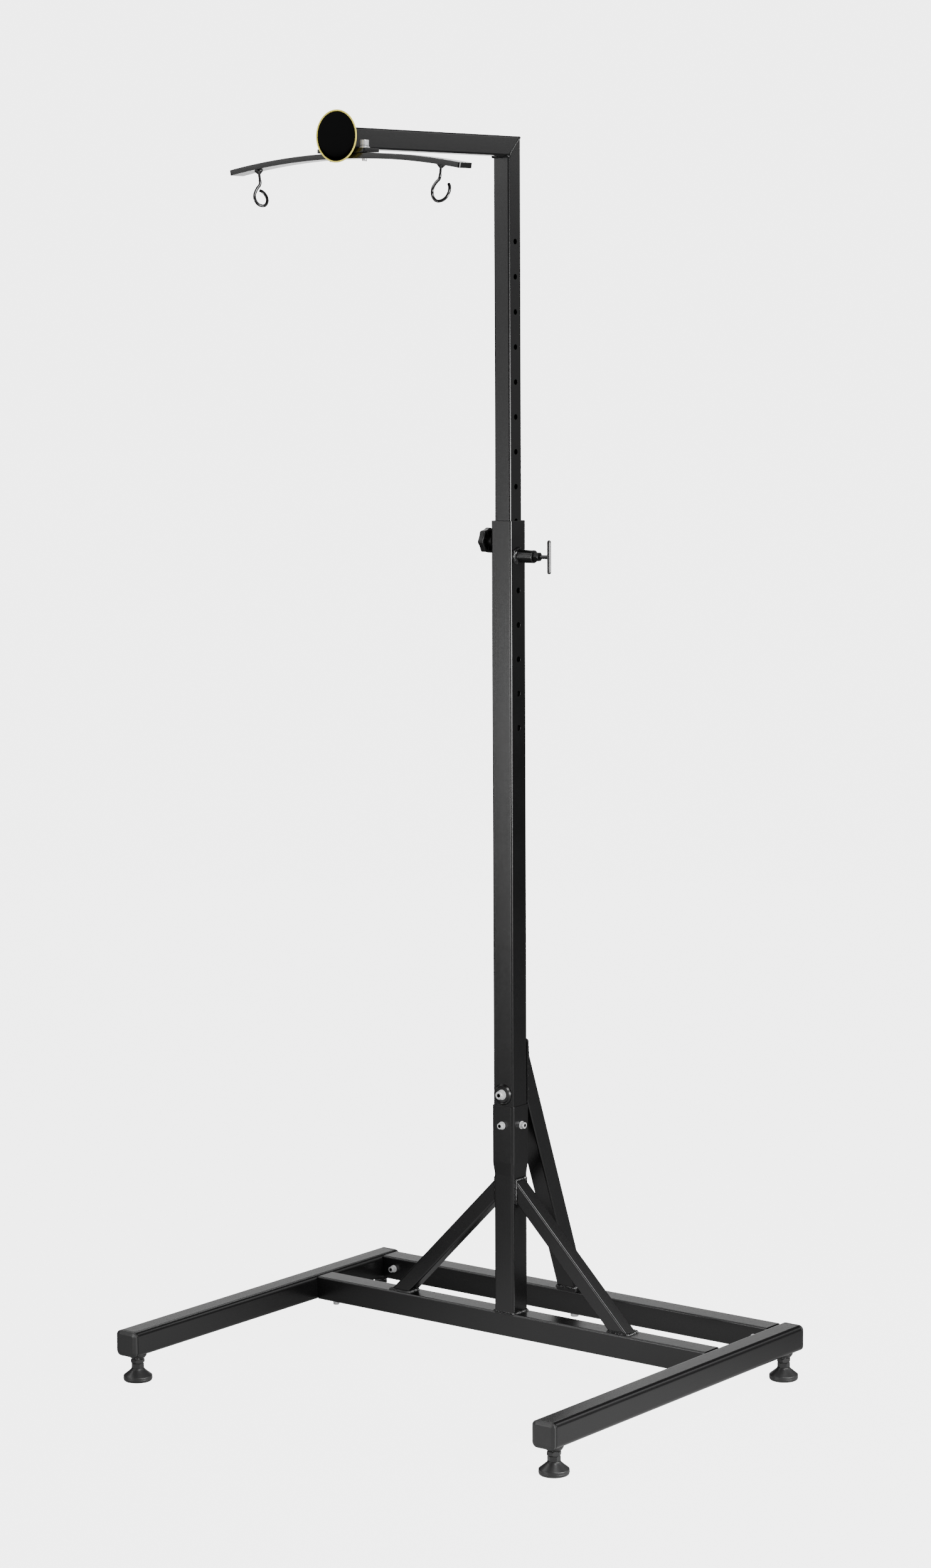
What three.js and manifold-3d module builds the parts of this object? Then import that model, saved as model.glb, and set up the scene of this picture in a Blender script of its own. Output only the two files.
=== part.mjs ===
// Gong stand: two floor legs, a braced telescoping column and a hanger bar with two screw hooks.
// Millimetres. +X right, +Y back, +Z up. Origin on the floor at the middle of the footprint.

import * as THREE from "three";
import { mergeVertices } from "three/addons/utils/BufferGeometryUtils.js";
import Module from "manifold-3d";

const wasm = await Module();
wasm.setup();

// Clearances and facet counts shared by every piece
const fit = 0.3; // gap round a pin or plug, and under a seated face
const overrun = 6; // how far a cutting shape runs past the wall that it cuts
const cutBlock = 400; // side of the block that trims a tube's end
const cornerSteps = 3;
const hiddenCornerSteps = 1; // corners inside tubes and plugs
const boreSides = 10; // bores and studs that stay out of sight
const holeSides = 14;
const roundSides = 18;
const hexSides = 6;

// Legs and their moulded end caps
const legTube = 40;
const legWall = 2;
const legCorner = 8;
const legLength = 640;
const legSpacing = 800;
const legLift = 43; // floor to the underside of a leg
const capBand = 5;
const capBevelDepth = 2;
const capBevelInset = 5.5;
const capFaceCorner = 3;
const capPlugLength = 9;
const capPlugWall = 2.5;

// Levelling feet, their lock nuts and the inserts in the legs
const footInset = 20; // foot axis to the end of the leg tube
const footRadius = 23;
const footSole = 20; // radius of the flat underside
const footRimLow = 3.5;
const footRimHigh = 8;
const footLip = 0.8;
const footConeTop = 19;
const footNeckFlats = 17;
const footNeckTop = 28;
const footStud = 10;
const footStudTop = 66;
const lockNutFlats = 19;
const lockNutHeight = 6.5;
const insertFlange = 28;
const insertFlangeHeight = 2.5;
const insertConeHeight = 3.5;
const insertConeEnd = 22;
const insertBody = 18;
const insertBodyHeight = 14;

// Crossbars, which slide over stubs welded to the legs
const barTube = 38;
const barWall = 2;
const barCorner = 3;
const barSpacing = 170; // front crossbar to rear crossbar
const stubLength = 42;
const stubWall = 3;
const stubScrewInset = 23; // screw axis to the leg's inner face

// Base post, swaged out at its top into a socket
const swageStart = 302;
const swageHeight = 22;
const socketTube = 42;
const socketCorner = 4.5;
const socketTop = 412.5;
const socketScrewLevel = 382;

// Braces
const sideBraceTube = 25;
const sideBraceWall = 2;
const sideBraceReach = 214.5; // column axis to the brace's centreline on top of the crossbar
const rearBraceTube = 32;
const rearBraceWall = 2;
const rearBraceFoot = 161.2; // column axis to the brace's centreline at its foot
const rearBraceTop = 460; // where the centreline meets the top plate
const topPlateWidth = 38;
const topPlateThickness = 4;
const topPlateLow = 414;
const topPlateHeight = 101;
const footPlateWidth = 39;
const footPlateDepth = 43;
const footPlateThickness = 6;
const footPlateOffset = 166.5; // column axis to the middle of the foot plate
const plateCorner = 4.5;
const columnBoltLevel = 431;

// Telescoping column
const holePitch = 53;
const lowerColumnTop = 1324;
const plungerLevel = 1270;
const stopHoleDiameter = 9; // holes in the lower column
const stopHoleCount = 5;
const innerTube = 30;
const innerWall = 2;
const innerCorner = 2.5;
const upperColumnFoot = 964;
const pinHoleDiameter = 8.6; // holes in the upper column
const pinHolesBelow = 3;
const pinHolesAbove = 9;
const sleeveHeight = 24;
const footPlugFlange = 6;
const footPlugLength = 20;
const footPlugWall = 3;

// Arm, its badge and its mount plate
const armLevel = 1890;
const armReach = 400; // column axis to the front end of the arm
const armPlugLength = 16;
const armPlugWall = 2.5;
const armPlugFlange = 1.5;
const badgeDiameter = 75;
const badgeDepth = 4;
const badgeRim = 2.2;
const badgeBack = 1.4;
const badgeRecess = 0.6; // the face lies this far behind the rim
const badgeRise = 2; // badge centre above the arm's axis
const badgeSides = 34;
const mountPlateWidth = 88;
const mountPlateDepth = 35;
const mountPlateThickness = 6;
const mountPlateCorner = 2;
const hangerSetback = 21; // plate, bar and hooks behind the arm's front end
const plateScrewSpacing = 60;

// Arched hanger bar and its screw hooks
const hangerRadius = 1200; // inside of the arch
const hangerDepth = 30;
const hangerThickness = 8;
const hangerHalfSpan = 214;
const hangerSteps = 16;
const hookInset = 44; // hook's axis to the end of the bar, measured across
const hookWire = 4.5;
const hookThread = 4;
const hookNutFlange = 13;
const hookNutHeight = 5.2;
const hookThreadLength = 9;
const hookNeck = 4; // thread end to the first bend
const hookLoopWidth = 23.6; // between the wire's centrelines
const hookLoopHeight = 26;
const hookLoopDrop = 20.7; // first bend to the middle of the loop
const hookOpening = 15; // sideways offset of the loop's open end
const hookLoopStart = 60; // degrees round the loop from its top
const hookLoopEnd = 337;
const halfTurn = 180;
const hookTurns = { left: 66.1, right: -3.9 }; // degrees between the loop's plane and the bar
const hookNeckShare = 0.25; // lowest straight point of the neck
const hookBendShares = [[0.12, 0.16], [0.42, 0.33]]; // points of the bend, across and down
const hookStations = 10; // points round the loop
const hookSections = 5;
const hookSteps = 26;
const hookNutWaistShare = 0.125; // cone's growth at the foot of the nut
const hookNutConeShare = 0.75; // share of the nut's height below its flange

// Spring plunger that locks the height
const barrelDiameter = 20;
const barrelLength = 31;
const barrelBore = 13;
const barrelWeld = 29;
const barrelWeldHeight = 4;
const barrelRimBevel = 1.2;
const bushFlats = 13;
const bushHeadLength = 9.4;
const bushThreadLength = 5;
const pinRod = 6;
const pinNose = 8;
const pinNoseGap = 0.4; // nose to the upper column's face
const pinCollar = 12;
const pinCollarLength = 3;
const pinReach = 58.5; // column face to the pull bar's axis
const pullBar = 6.4;
const pullBarLength = 52;
const pullBarEndSteps = 3;
const springWire = 1.2;
const springCoils = 5;
const springCoilSteps = 6;
const springSections = 3;

// Star knob that clamps the column
const clampLevel = 1292;
const weldNutFlats = 13;
const weldNutHeight = 6.5;
const clampThread = 8;
const knobDiameter = 40;
const knobRim = 10;
const knobHub = 18;
const knobHubLength = 8;
const knobGap = 1; // hub to weld nut with the screw tight
const knobLobes = 7;
const knobLobeDepth = 4.6;
const knobLobeSteps = 5;
const knobFirstLobe = 8; // degrees from vertical
const knobEdge = 2;
const knobEdgeSteps = 2;
const knobDish = 1;
const knobHollow = 26; // diameter of the hollow round the hub, open towards the column
const knobFaceWall = 3.5;
const studBite = 12; // length of stud held in the knob

// Socket-head screws: two thread sizes
const smallScrew = {
  thread: 6, head: 10, headHeight: 6, springWasher: 10, springHeight: 1.6,
  washer: 12.5, washerHeight: 1.2, socketFlats: 5, sides: 12,
};
const largeScrew = {
  thread: 8, head: 13, headHeight: 8, springWasher: 13, springHeight: 2,
  washer: 16, washerHeight: 1.6, socketFlats: 6, sides: 14,
};
const socketDepthShare = 0.5;
const bareHead = { flat: false, spring: false };
const flatWasher = { flat: true, spring: false };
const bothWashers = { flat: true, spring: true };
const crossbarScrewLength = 13;
const socketScrewLength = 9;
const plateScrewPoint = 4; // thread end below the hanger bar
const dishWasher = 33;
const dishWasherHeight = 4;
const dishWasherStep = 1.6;
const dishWasherShoulder = 24;
const columnNutHeight = 6.5;
const screwBevel = 0.8;

// Places worked out from the sizes above
const barLevel = legLift + legTube / 2;
const barTop = barLevel + barTube / 2;
const barBottom = barLevel - barTube / 2;
const legX = legSpacing / 2;
const legInner = legX - legTube / 2;
const rearBarY = (legLength - barTube) / 2; // flush with the ends of the leg tubes
const columnSetback = rearBarY - barSpacing; // the column's axis, behind the middle of the footprint
const footY = legLength / 2 - footInset;
const columnFace = barTube / 2;
const socketFace = socketTube / 2;
const braceRun = rearBraceFoot - columnFace - topPlateThickness;
const braceSlope = Math.atan2(braceRun, rearBraceTop - barTop - footPlateThickness);
const lowerColumnFoot = swageStart + swageHeight + fit;
const armFront = columnSetback - armReach;
const armBottom = armLevel - innerTube / 2;
const hangerY = armFront + hangerSetback;
const hangerTop = armBottom - mountPlateThickness - 2 * fit;
const hangerCentre = hangerTop - hangerThickness - hangerRadius;
const hookReach = hangerHalfSpan - hookInset; // middle of the bar to a hook
const hookLean = Math.asin(hookReach / (hangerRadius + hangerThickness / 2));
const lockNutLow = footNeckTop + fit;
const insertLow = legLift - insertFlangeHeight - insertConeHeight;

// Finishes
const coat = { color: 0x3a3a3b, roughness: 0.55, metalness: 0.25 };
const zinc = { color: 0xa9aaab, roughness: 0.35, metalness: 0.9 };
const plastic = { color: 0x2b2b2c, roughness: 0.6, metalness: 0 };
const blackened = { color: 0x161616, roughness: 0.25, metalness: 0.7 };
const paleGold = { color: 0xd8c9a0, roughness: 0.25, metalness: 1 };
const lacquer = { color: 0x0c0c0d, roughness: 0.12, metalness: 0 };
const steel = { color: 0x8d8e90, roughness: 0.35, metalness: 0.95 };

// Solids and their joins

function solid(geometry) {
  const bare = geometry.clone();
  bare.deleteAttribute("normal");
  bare.deleteAttribute("uv");
  const merged = mergeVertices(bare);
  const index = merged.index.array;
  const triangles = [];
  for (let i = 0; i < index.length; i += 3) {
    const [a, b, c] = [index[i], index[i + 1], index[i + 2]];
    if (a !== b && b !== c && c !== a) triangles.push(a, b, c);
  }
  const vertProperties = new Float32Array(merged.attributes.position.array);
  const triVerts = new Uint32Array(triangles);
  return new wasm.Manifold(new wasm.Mesh({ numProp: 3, vertProperties, triVerts }));
}

function cut(body, ...tools) {
  return tools.reduce((rest, tool) => rest.subtract(tool), body);
}

function join(...bodies) {
  return bodies.reduce((whole, body) => whole.add(body));
}

function geometryOf(body) {
  const mesh = body.getMesh();
  const geometry = new THREE.BufferGeometry();
  const positions = new Float32Array(mesh.vertProperties);
  geometry.setAttribute("position", new THREE.BufferAttribute(positions, 3));
  geometry.setIndex(new THREE.BufferAttribute(new Uint32Array(mesh.triVerts), 1));
  geometry.computeVertexNormals();
  return geometry;
}

const group = new THREE.Group();

function addPiece(name, body, finish, place = [0, 0, 0], turn = [0, 0, 0]) {
  const mesh = new THREE.Mesh(geometryOf(body), new THREE.MeshStandardMaterial(finish));
  mesh.name = name;
  mesh.position.set(...place);
  mesh.rotation.set(...turn);
  group.add(mesh);
}

// Outlines and basic forms

function roundedOutline(width, height, corner, steps = cornerSteps) {
  const points = [];
  const centres = [[1, -1], [1, 1], [-1, 1], [-1, -1]];
  centres.forEach(([sideX, sideY], quarter) => {
    const centreX = sideX * (width / 2 - corner);
    const centreY = sideY * (height / 2 - corner);
    for (let step = 0; step <= steps; step++) {
      const angle = (quarter - 1 + step / steps) * Math.PI / 2;
      points.push(new THREE.Vector2(centreX + corner * Math.cos(angle), centreY + corner * Math.sin(angle)));
    }
  });
  return points;
}

function extruded(outline, depth, holes = []) {
  const shape = new THREE.Shape(outline);
  shape.holes = holes.map((hole) => new THREE.Path(hole));
  return new THREE.ExtrudeGeometry(shape, { depth, bevelEnabled: false });
}

function squareTube(width, corner, wall, length, innerSteps = hiddenCornerSteps) {
  const outer = roundedOutline(width, width, corner);
  const innerCornerRadius = Math.max(corner - wall, wall / 4);
  const bore = width - 2 * wall;
  const inner = roundedOutline(bore, bore, innerCornerRadius, innerSteps);
  return extruded(outer, length, [inner]).translate(0, 0, -length / 2);
}

function plate(width, height, corner, thickness) {
  return extruded(roundedOutline(width, height, corner), thickness);
}

// A stack of rounded squares, each given as [level, width, corner], skinned into one closed body
function loft(levels, steps = cornerSteps) {
  const rings = levels.map(([level, width, corner]) =>
    roundedOutline(width, width, corner, steps).map((point) => [point.x, point.y, level]));
  const count = rings[0].length;
  const index = [];
  for (let ring = 0; ring < rings.length - 1; ring++) {
    for (let i = 0; i < count; i++) {
      const a = ring * count + i;
      const b = ring * count + (i + 1) % count;
      index.push(a, b, b + count, a, b + count, a + count);
    }
  }
  const last = (rings.length - 1) * count;
  for (let i = 1; i < count - 1; i++) {
    index.push(0, i + 1, i);
    index.push(last, last + i, last + i + 1);
  }
  const geometry = new THREE.BufferGeometry();
  geometry.setAttribute("position", new THREE.Float32BufferAttribute(rings.flat(2), 3));
  geometry.setIndex(index);
  return geometry;
}

// A profile of [radius, level] pairs turned about Z, given from its foot to its top
function turned(profile, sides = roundSides) {
  const points = profile.map(([radius, level]) => new THREE.Vector2(radius, level));
  return new THREE.LatheGeometry(points, sides).rotateX(Math.PI / 2);
}

function rod(diameter, from, to, sides = roundSides) {
  return turned([[0, from], [diameter / 2, from], [diameter / 2, to], [0, to]], sides);
}

// A cutting rod whose flats clear the round piece that passes through its hole
function drill(diameter, from, to, sides = boreSides) {
  return rod(diameter / Math.cos(Math.PI / sides), from, to, sides);
}

function hexPrism(flats, from, to) {
  const corner = flats / Math.sqrt(3);
  return new THREE.CylinderGeometry(corner, corner, to - from, hexSides)
    .rotateX(Math.PI / 2).translate(0, 0, (from + to) / 2);
}

// Everything on the far side of a plane through a point, as a block to cut away
function beyond(point, normal) {
  const direction = new THREE.Vector3(...normal).normalize();
  const block = new THREE.BoxGeometry(cutBlock, cutBlock, cutBlock).translate(0, 0, cutBlock / 2);
  const turn = new THREE.Quaternion().setFromUnitVectors(new THREE.Vector3(0, 0, 1), direction);
  return solid(block.applyQuaternion(turn).translate(...point));
}

const alongX = (geometry) => geometry.rotateY(Math.PI / 2);
const alongY = (geometry) => geometry.rotateX(-Math.PI / 2);

// Legs: a tube along Y with two stubs for the crossbars and a hole for each insert

function makeLeg(inward) {
  const tube = solid(alongY(squareTube(legTube, legCorner, legWall, legLength, cornerSteps)));
  const stubTube = barTube - 2 * barWall - 2 * fit;
  const stubHole = smallScrew.thread + 2 * fit;
  const stubs = [columnSetback, rearBarY].map((barY) => {
    const centreX = inward * (legTube + stubLength) / 2;
    const stub = solid(alongX(squareTube(stubTube, barWall, stubWall, stubLength + legWall))
      .translate(centreX - inward * legWall / 2, barY, 0));
    const screwX = inward * (legTube / 2 + stubScrewInset);
    const bore = drill(stubHole, -barTube / 2 - overrun, 0);
    const placed = barY === rearBarY ? alongY(bore) : bore;
    return cut(stub, solid(placed.translate(screwX, barY, 0)));
  });
  const welded = join(tube, ...stubs);
  const underside = -legTube / 2;
  const insertHoles = [-footY, footY].map((y) => {
    const hole = drill(insertBody + 2 * fit, underside - overrun, underside + legWall + overrun);
    return solid(hole.translate(0, y, 0));
  });
  return cut(welded, ...insertHoles);
}

// End cap: a hollow plug, a band flush with the tube and a bevelled face
function makeLegCap() {
  const plugTube = legTube - 2 * legWall - 2 * fit;
  const plugCorner = legCorner - legWall - fit;
  const body = solid(loft([
    [-capPlugLength, plugTube, plugCorner],
    [fit, plugTube, plugCorner],
    [fit, legTube, legCorner],
    [capBand, legTube, legCorner],
    [capBand + capBevelDepth, legTube - 2 * capBevelInset, capFaceCorner],
  ]));
  const hollow = solid(loft([
    [-capPlugLength - overrun, plugTube - 2 * capPlugWall, plugCorner - capPlugWall],
    [capBand - capPlugWall, plugTube - 2 * capPlugWall, plugCorner - capPlugWall],
  ], hiddenCornerSteps));
  return cut(body, hollow);
}

// Levelling foot: a round sole under a cone, a hexagonal neck for the spanner and a stud
function makeLevellingFoot() {
  const neckCorner = footNeckFlats / Math.sqrt(3);
  const base = solid(turned([
    [0, 0],
    [footSole, 0],
    [footRadius - footLip, footRimLow / 2],
    [footRadius - footLip / 2, footRimLow],
    [footRadius - footLip / 2, footRimHigh - footLip],
    [footRadius, footRimHigh - footLip],
    [footRadius, footRimHigh],
    [footRadius - footLip, footRimHigh + footLip],
    [neckCorner, footConeTop],
    [0, footConeTop],
  ]));
  const neck = solid(hexPrism(footNeckFlats, footRimHigh, footNeckTop));
  const stud = solid(rod(footStud, footRimHigh, footStudTop, boreSides));
  return join(base, neck, stud);
}

// A hexagon with both ends chamfered
function makeHexagon(flats, height) {
  const corner = flats / Math.sqrt(3);
  const bevel = (corner - flats / 2) / 2;
  const barrel = solid(turned([
    [0, 0],
    [flats / 2, 0],
    [corner, bevel],
    [corner, height - bevel],
    [flats / 2, height],
    [0, height],
  ], boreSides));
  return solid(hexPrism(flats, 0, height)).intersect(barrel);
}

function makeNut(flats, height, bore) {
  return cut(makeHexagon(flats, height), solid(drill(bore, -overrun, height + overrun)));
}

// Threaded insert: a cone and flange under the leg and a body through its wall
function makeInsert() {
  const flangeLow = insertConeHeight;
  const flangeTop = insertConeHeight + insertFlangeHeight - fit;
  const bore = footStud / 2 + fit;
  return solid(turned([
    [bore, 0],
    [insertConeEnd / 2, 0],
    [insertFlange / 2, flangeLow],
    [insertFlange / 2, flangeTop],
    [insertBody / 2, flangeTop],
    [insertBody / 2, flangeTop + insertBodyHeight],
    [bore, flangeTop + insertBodyHeight],
    [bore, 0],
  ], holeSides));
}

// Socket-head screw on its washers: the seat is at Z = 0, the head above it, the shank below
function makeScrew(size, shank, washers = bothWashers) {
  const bevel = screwBevel;
  const thread = size.thread / 2;
  const rows = [[0, -shank], [thread, -shank], [thread, fit]];
  let level = fit;
  if (washers.flat) {
    rows.push([size.washer / 2, level], [size.washer / 2, level + size.washerHeight]);
    level += size.washerHeight;
  }
  if (washers.spring) {
    rows.push([size.springWasher / 2, level], [size.springWasher / 2, level + size.springHeight]);
    level += size.springHeight;
  }
  const top = level + size.headHeight;
  rows.push([size.head / 2, level]);
  rows.push([size.head / 2, top - bevel], [size.head / 2 - bevel, top], [0, top]);
  const body = solid(turned(rows, size.sides));
  const socket = solid(hexPrism(size.socketFlats, top - size.headHeight * socketDepthShare, top + overrun));
  return cut(body, socket);
}

["left", "right"].forEach((side) => {
  const sign = side === "left" ? -1 : 1;
  const x = sign * legX;
  addPiece(`${side}_leg`, makeLeg(-sign), coat, [x, 0, barLevel]);
  ["front", "rear"].forEach((end) => {
    const way = end === "front" ? -1 : 1;
    const capTurn = [-way * Math.PI / 2, 0, 0];
    addPiece(`${side}_${end}_leg_cap`, makeLegCap(), plastic, [x, way * legLength / 2, barLevel], capTurn);
    addPiece(`${side}_${end}_foot_insert`, makeInsert(), plastic, [x, way * footY, insertLow]);
    addPiece(`${side}_${end}_lock_nut`, makeNut(lockNutFlats, lockNutHeight, footStud + 2 * fit), plastic,
      [x, way * footY, lockNutLow]);
    addPiece(`${side}_${end}_levelling_foot`, makeLevellingFoot(), plastic, [x, way * footY, 0]);
  });
});

// Crossbars between the legs, bolted to the stubs: the front one from below, the rear one in front

const crossbarLength = 2 * (legInner - fit);
const crossbarScrewX = legInner - stubScrewInset;

function makeCrossbar(aim) {
  const tube = solid(alongX(squareTube(barTube, barCorner, barWall, crossbarLength)));
  const holes = [-crossbarScrewX, crossbarScrewX].map((x) =>
    solid(aim(drill(smallScrew.thread + 2 * fit, -barTube / 2 - overrun, 0)).translate(x, 0, 0)));
  return cut(tube, ...holes);
}

const rearBoltHole = solid(drill(largeScrew.thread + 2 * fit, -barTube, barTube));
addPiece("front_crossbar", makeCrossbar((hole) => hole), coat, [0, columnSetback, barLevel]);
addPiece("rear_crossbar", cut(makeCrossbar(alongY), rearBoltHole), coat, [0, rearBarY, barLevel]);
["left", "right"].forEach((side) => {
  const x = (side === "left" ? -1 : 1) * crossbarScrewX;
  addPiece(`front_crossbar_${side}_screw`, makeScrew(smallScrew, crossbarScrewLength), zinc,
    [x, columnSetback, barBottom], [Math.PI, 0, 0]);
  addPiece(`rear_crossbar_${side}_screw`, makeScrew(smallScrew, crossbarScrewLength), zinc,
    [x, rearBarY - barTube / 2, barLevel], [Math.PI / 2, 0, 0]);
});

// Base post, its socket drawn out to take the lower column

function makeBasePost() {
  const foot = barTop + fit;
  const bore = barTube + 2 * fit;
  const boreCorner = barCorner + fit;
  const postBore = barTube - 2 * barWall;
  const outside = solid(loft([
    [foot, barTube, barCorner],
    [swageStart, barTube, barCorner],
    [swageStart + swageHeight, socketTube, socketCorner],
    [socketTop, socketTube, socketCorner],
  ]));
  const inside = solid(loft([
    [foot - overrun, postBore, barCorner - barWall],
    [swageStart, postBore, barCorner - barWall],
    [swageStart + swageHeight, bore, boreCorner],
    [socketTop + overrun, bore, boreCorner],
  ]));
  const screwHole = drill(smallScrew.thread + 2 * fit, 0, barTube);
  const front = solid(screwHole.clone().rotateX(Math.PI / 2).translate(0, 0, socketScrewLevel));
  const right = solid(alongX(screwHole).translate(0, 0, socketScrewLevel));
  return cut(outside, inside, front, right);
}

addPiece("base_post", makeBasePost(), coat, [0, columnSetback, 0]);
addPiece("front_socket_screw", makeScrew(smallScrew, socketScrewLength, flatWasher), zinc,
  [0, columnSetback - socketFace, socketScrewLevel], [Math.PI / 2, 0, 0]);
addPiece("side_socket_screw", makeScrew(smallScrew, socketScrewLength, flatWasher), zinc,
  [socketFace, columnSetback, socketScrewLevel], [0, Math.PI / 2, 0]);

// Side braces at 45 degrees, cut to the post and to the crossbar

function makeSideBrace(side) {
  const rise = sideBraceReach - columnFace;
  const middleX = (sideBraceReach + columnFace) / 2;
  const length = Math.hypot(rise, rise) + 2 * sideBraceTube;
  const tube = squareTube(sideBraceTube, barCorner, sideBraceWall, length)
    .rotateY(-side * Math.PI / 4).translate(side * middleX, 0, barTop + rise / 2);
  const post = beyond([side * (columnFace + fit), 0, barTop + rise], [-side, 0, 0]);
  const crossbar = beyond([side * sideBraceReach, 0, barTop + fit], [0, 0, -1]);
  return cut(solid(tube), post, crossbar);
}

addPiece("left_side_brace", makeSideBrace(-1), coat, [0, columnSetback, 0]);
addPiece("right_side_brace", makeSideBrace(1), coat, [0, columnSetback, 0]);

// Rear brace from a plate on the rear crossbar to a plate on the column's back

function makeRearBrace() {
  const low = barTop + footPlateThickness + 2 * fit;
  const nearFace = columnFace + topPlateThickness + 2 * fit;
  const run = rearBraceFoot - nearFace;
  const length = Math.hypot(run, rearBraceTop - low) + 4 * rearBraceTube;
  const tube = squareTube(rearBraceTube, barCorner, rearBraceWall, length)
    .rotateX(braceSlope).translate(0, (rearBraceFoot + nearFace) / 2, (rearBraceTop + low) / 2);
  const bar = beyond([0, rearBraceFoot, low], [0, 0, -1]);
  const column = beyond([0, nearFace, rearBraceTop], [0, -1, 0]);
  return cut(solid(tube), bar, column);
}

function makeTopPlate() {
  const body = solid(plate(topPlateWidth, topPlateHeight, plateCorner, topPlateThickness)
    .rotateX(Math.PI / 2).translate(0, topPlateThickness + fit, topPlateLow + topPlateHeight / 2));
  const hole = solid(alongY(drill(largeScrew.thread + 2 * fit, -overrun, topPlateThickness + overrun))
    .translate(0, 0, columnBoltLevel));
  return cut(body, hole);
}

function makeFootPlate() {
  const body = solid(plate(footPlateWidth, footPlateDepth, plateCorner, footPlateThickness));
  const hole = solid(drill(largeScrew.thread + 2 * fit, -overrun, footPlateThickness + overrun)
    .translate(0, barSpacing - footPlateOffset, 0));
  return cut(body, hole);
}

addPiece("rear_brace", makeRearBrace(), coat, [0, columnSetback, 0]);
addPiece("rear_brace_top_plate", makeTopPlate(), coat, [0, columnSetback + columnFace, 0]);
addPiece("rear_brace_foot_plate", makeFootPlate(), coat,
  [0, columnSetback + footPlateOffset, barTop + fit]);
addPiece("rear_brace_foot_bolt", makeScrew(largeScrew, barTube + footPlateThickness, bareHead), zinc,
  [0, rearBarY, barBottom], [Math.PI, 0, 0]);

// Lower column, standing in the socket

function makeLowerColumn() {
  const length = lowerColumnTop - lowerColumnFoot;
  const middle = (lowerColumnTop + lowerColumnFoot) / 2;
  const tube = solid(squareTube(barTube, barCorner, barWall, length).translate(0, 0, middle));
  const reach = columnFace + overrun;
  const drillRight = (diameter, level, sides) =>
    solid(alongX(drill(diameter, 0, reach, sides)).translate(0, 0, level));
  const stopHoles = [];
  for (let step = 1; step <= stopHoleCount; step++) {
    stopHoles.push(drillRight(stopHoleDiameter, plungerLevel - step * holePitch, holeSides));
  }
  const pinHole = drillRight(pinNose + 2 * fit, plungerLevel);
  const sideScrewHole = drillRight(smallScrew.thread + 2 * fit, socketScrewLevel);
  const frontScrewHole = solid(drill(smallScrew.thread + 2 * fit, 0, reach)
    .rotateX(Math.PI / 2).translate(0, 0, socketScrewLevel));
  const clampHole = solid(alongX(drill(clampThread + 2 * fit, -reach, 0)).translate(0, 0, clampLevel));
  const boltHole = solid(alongY(drill(largeScrew.thread + 2 * fit, -reach, reach))
    .translate(0, 0, columnBoltLevel));
  return cut(tube, ...stopHoles, pinHole, sideScrewHole, frontScrewHole, clampHole, boltHole);
}

addPiece("lower_column", makeLowerColumn(), coat, [0, columnSetback, 0]);

// Column bolt: through a dished washer, the column and the brace's plate into a nut

function makeDishedWasher() {
  const bore = largeScrew.thread / 2 + fit;
  return solid(turned([
    [bore, fit],
    [dishWasher / 2, fit],
    [dishWasher / 2, dishWasherStep],
    [dishWasherShoulder / 2, dishWasherHeight],
    [bore, dishWasherHeight],
    [bore, fit],
  ]));
}

const columnBoltLength = dishWasherHeight + barTube + topPlateThickness + columnNutHeight + 3 * fit;
addPiece("column_bolt_washer", makeDishedWasher(), plastic,
  [0, columnSetback - columnFace, columnBoltLevel], [Math.PI / 2, 0, 0]);
addPiece("column_bolt", makeScrew(largeScrew, columnBoltLength, flatWasher), zinc,
  [0, columnSetback - columnFace - dishWasherHeight, columnBoltLevel], [Math.PI / 2, 0, 0]);
addPiece("column_bolt_nut", makeNut(largeScrew.head, columnNutHeight, largeScrew.thread + 2 * fit), zinc,
  [0, columnSetback + columnFace + topPlateThickness + 2 * fit, columnBoltLevel], [-Math.PI / 2, 0, 0]);

// Guide sleeve, flush in the mouth of the lower column

const sleeveOutside = barTube - 2 * barWall - 2 * fit;
const sleeveWall = (sleeveOutside - innerTube) / 2 - fit;
const sleeveCorner = innerCorner + sleeveWall;
const sleeve = squareTube(sleeveOutside, sleeveCorner, sleeveWall, sleeveHeight, cornerSteps);
addPiece("guide_sleeve", solid(sleeve), plastic, [0, columnSetback, lowerColumnTop - sleeveHeight / 2]);

// Upper column and arm, mitred together

function makeUpperColumn() {
  const length = armLevel + innerTube - upperColumnFoot;
  const tube = solid(squareTube(innerTube, innerCorner, innerWall, length)
    .translate(0, 0, upperColumnFoot + length / 2));
  const holes = [];
  for (let step = -pinHolesBelow; step <= pinHolesAbove; step++) {
    holes.push(solid(alongX(drill(pinHoleDiameter, 0, innerTube, holeSides))
      .translate(0, 0, plungerLevel + step * holePitch)));
  }
  return cut(tube, beyond([0, 0, armLevel - fit / 2], [0, -1, 1]), ...holes);
}

function makeArm() {
  const length = armReach + innerTube;
  const tube = solid(alongY(squareTube(innerTube, innerCorner, innerWall, length))
    .translate(0, length / 2 - armReach, armLevel));
  return cut(tube, beyond([0, 0, armLevel + fit / 2], [0, 1, -1]));
}

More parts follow.
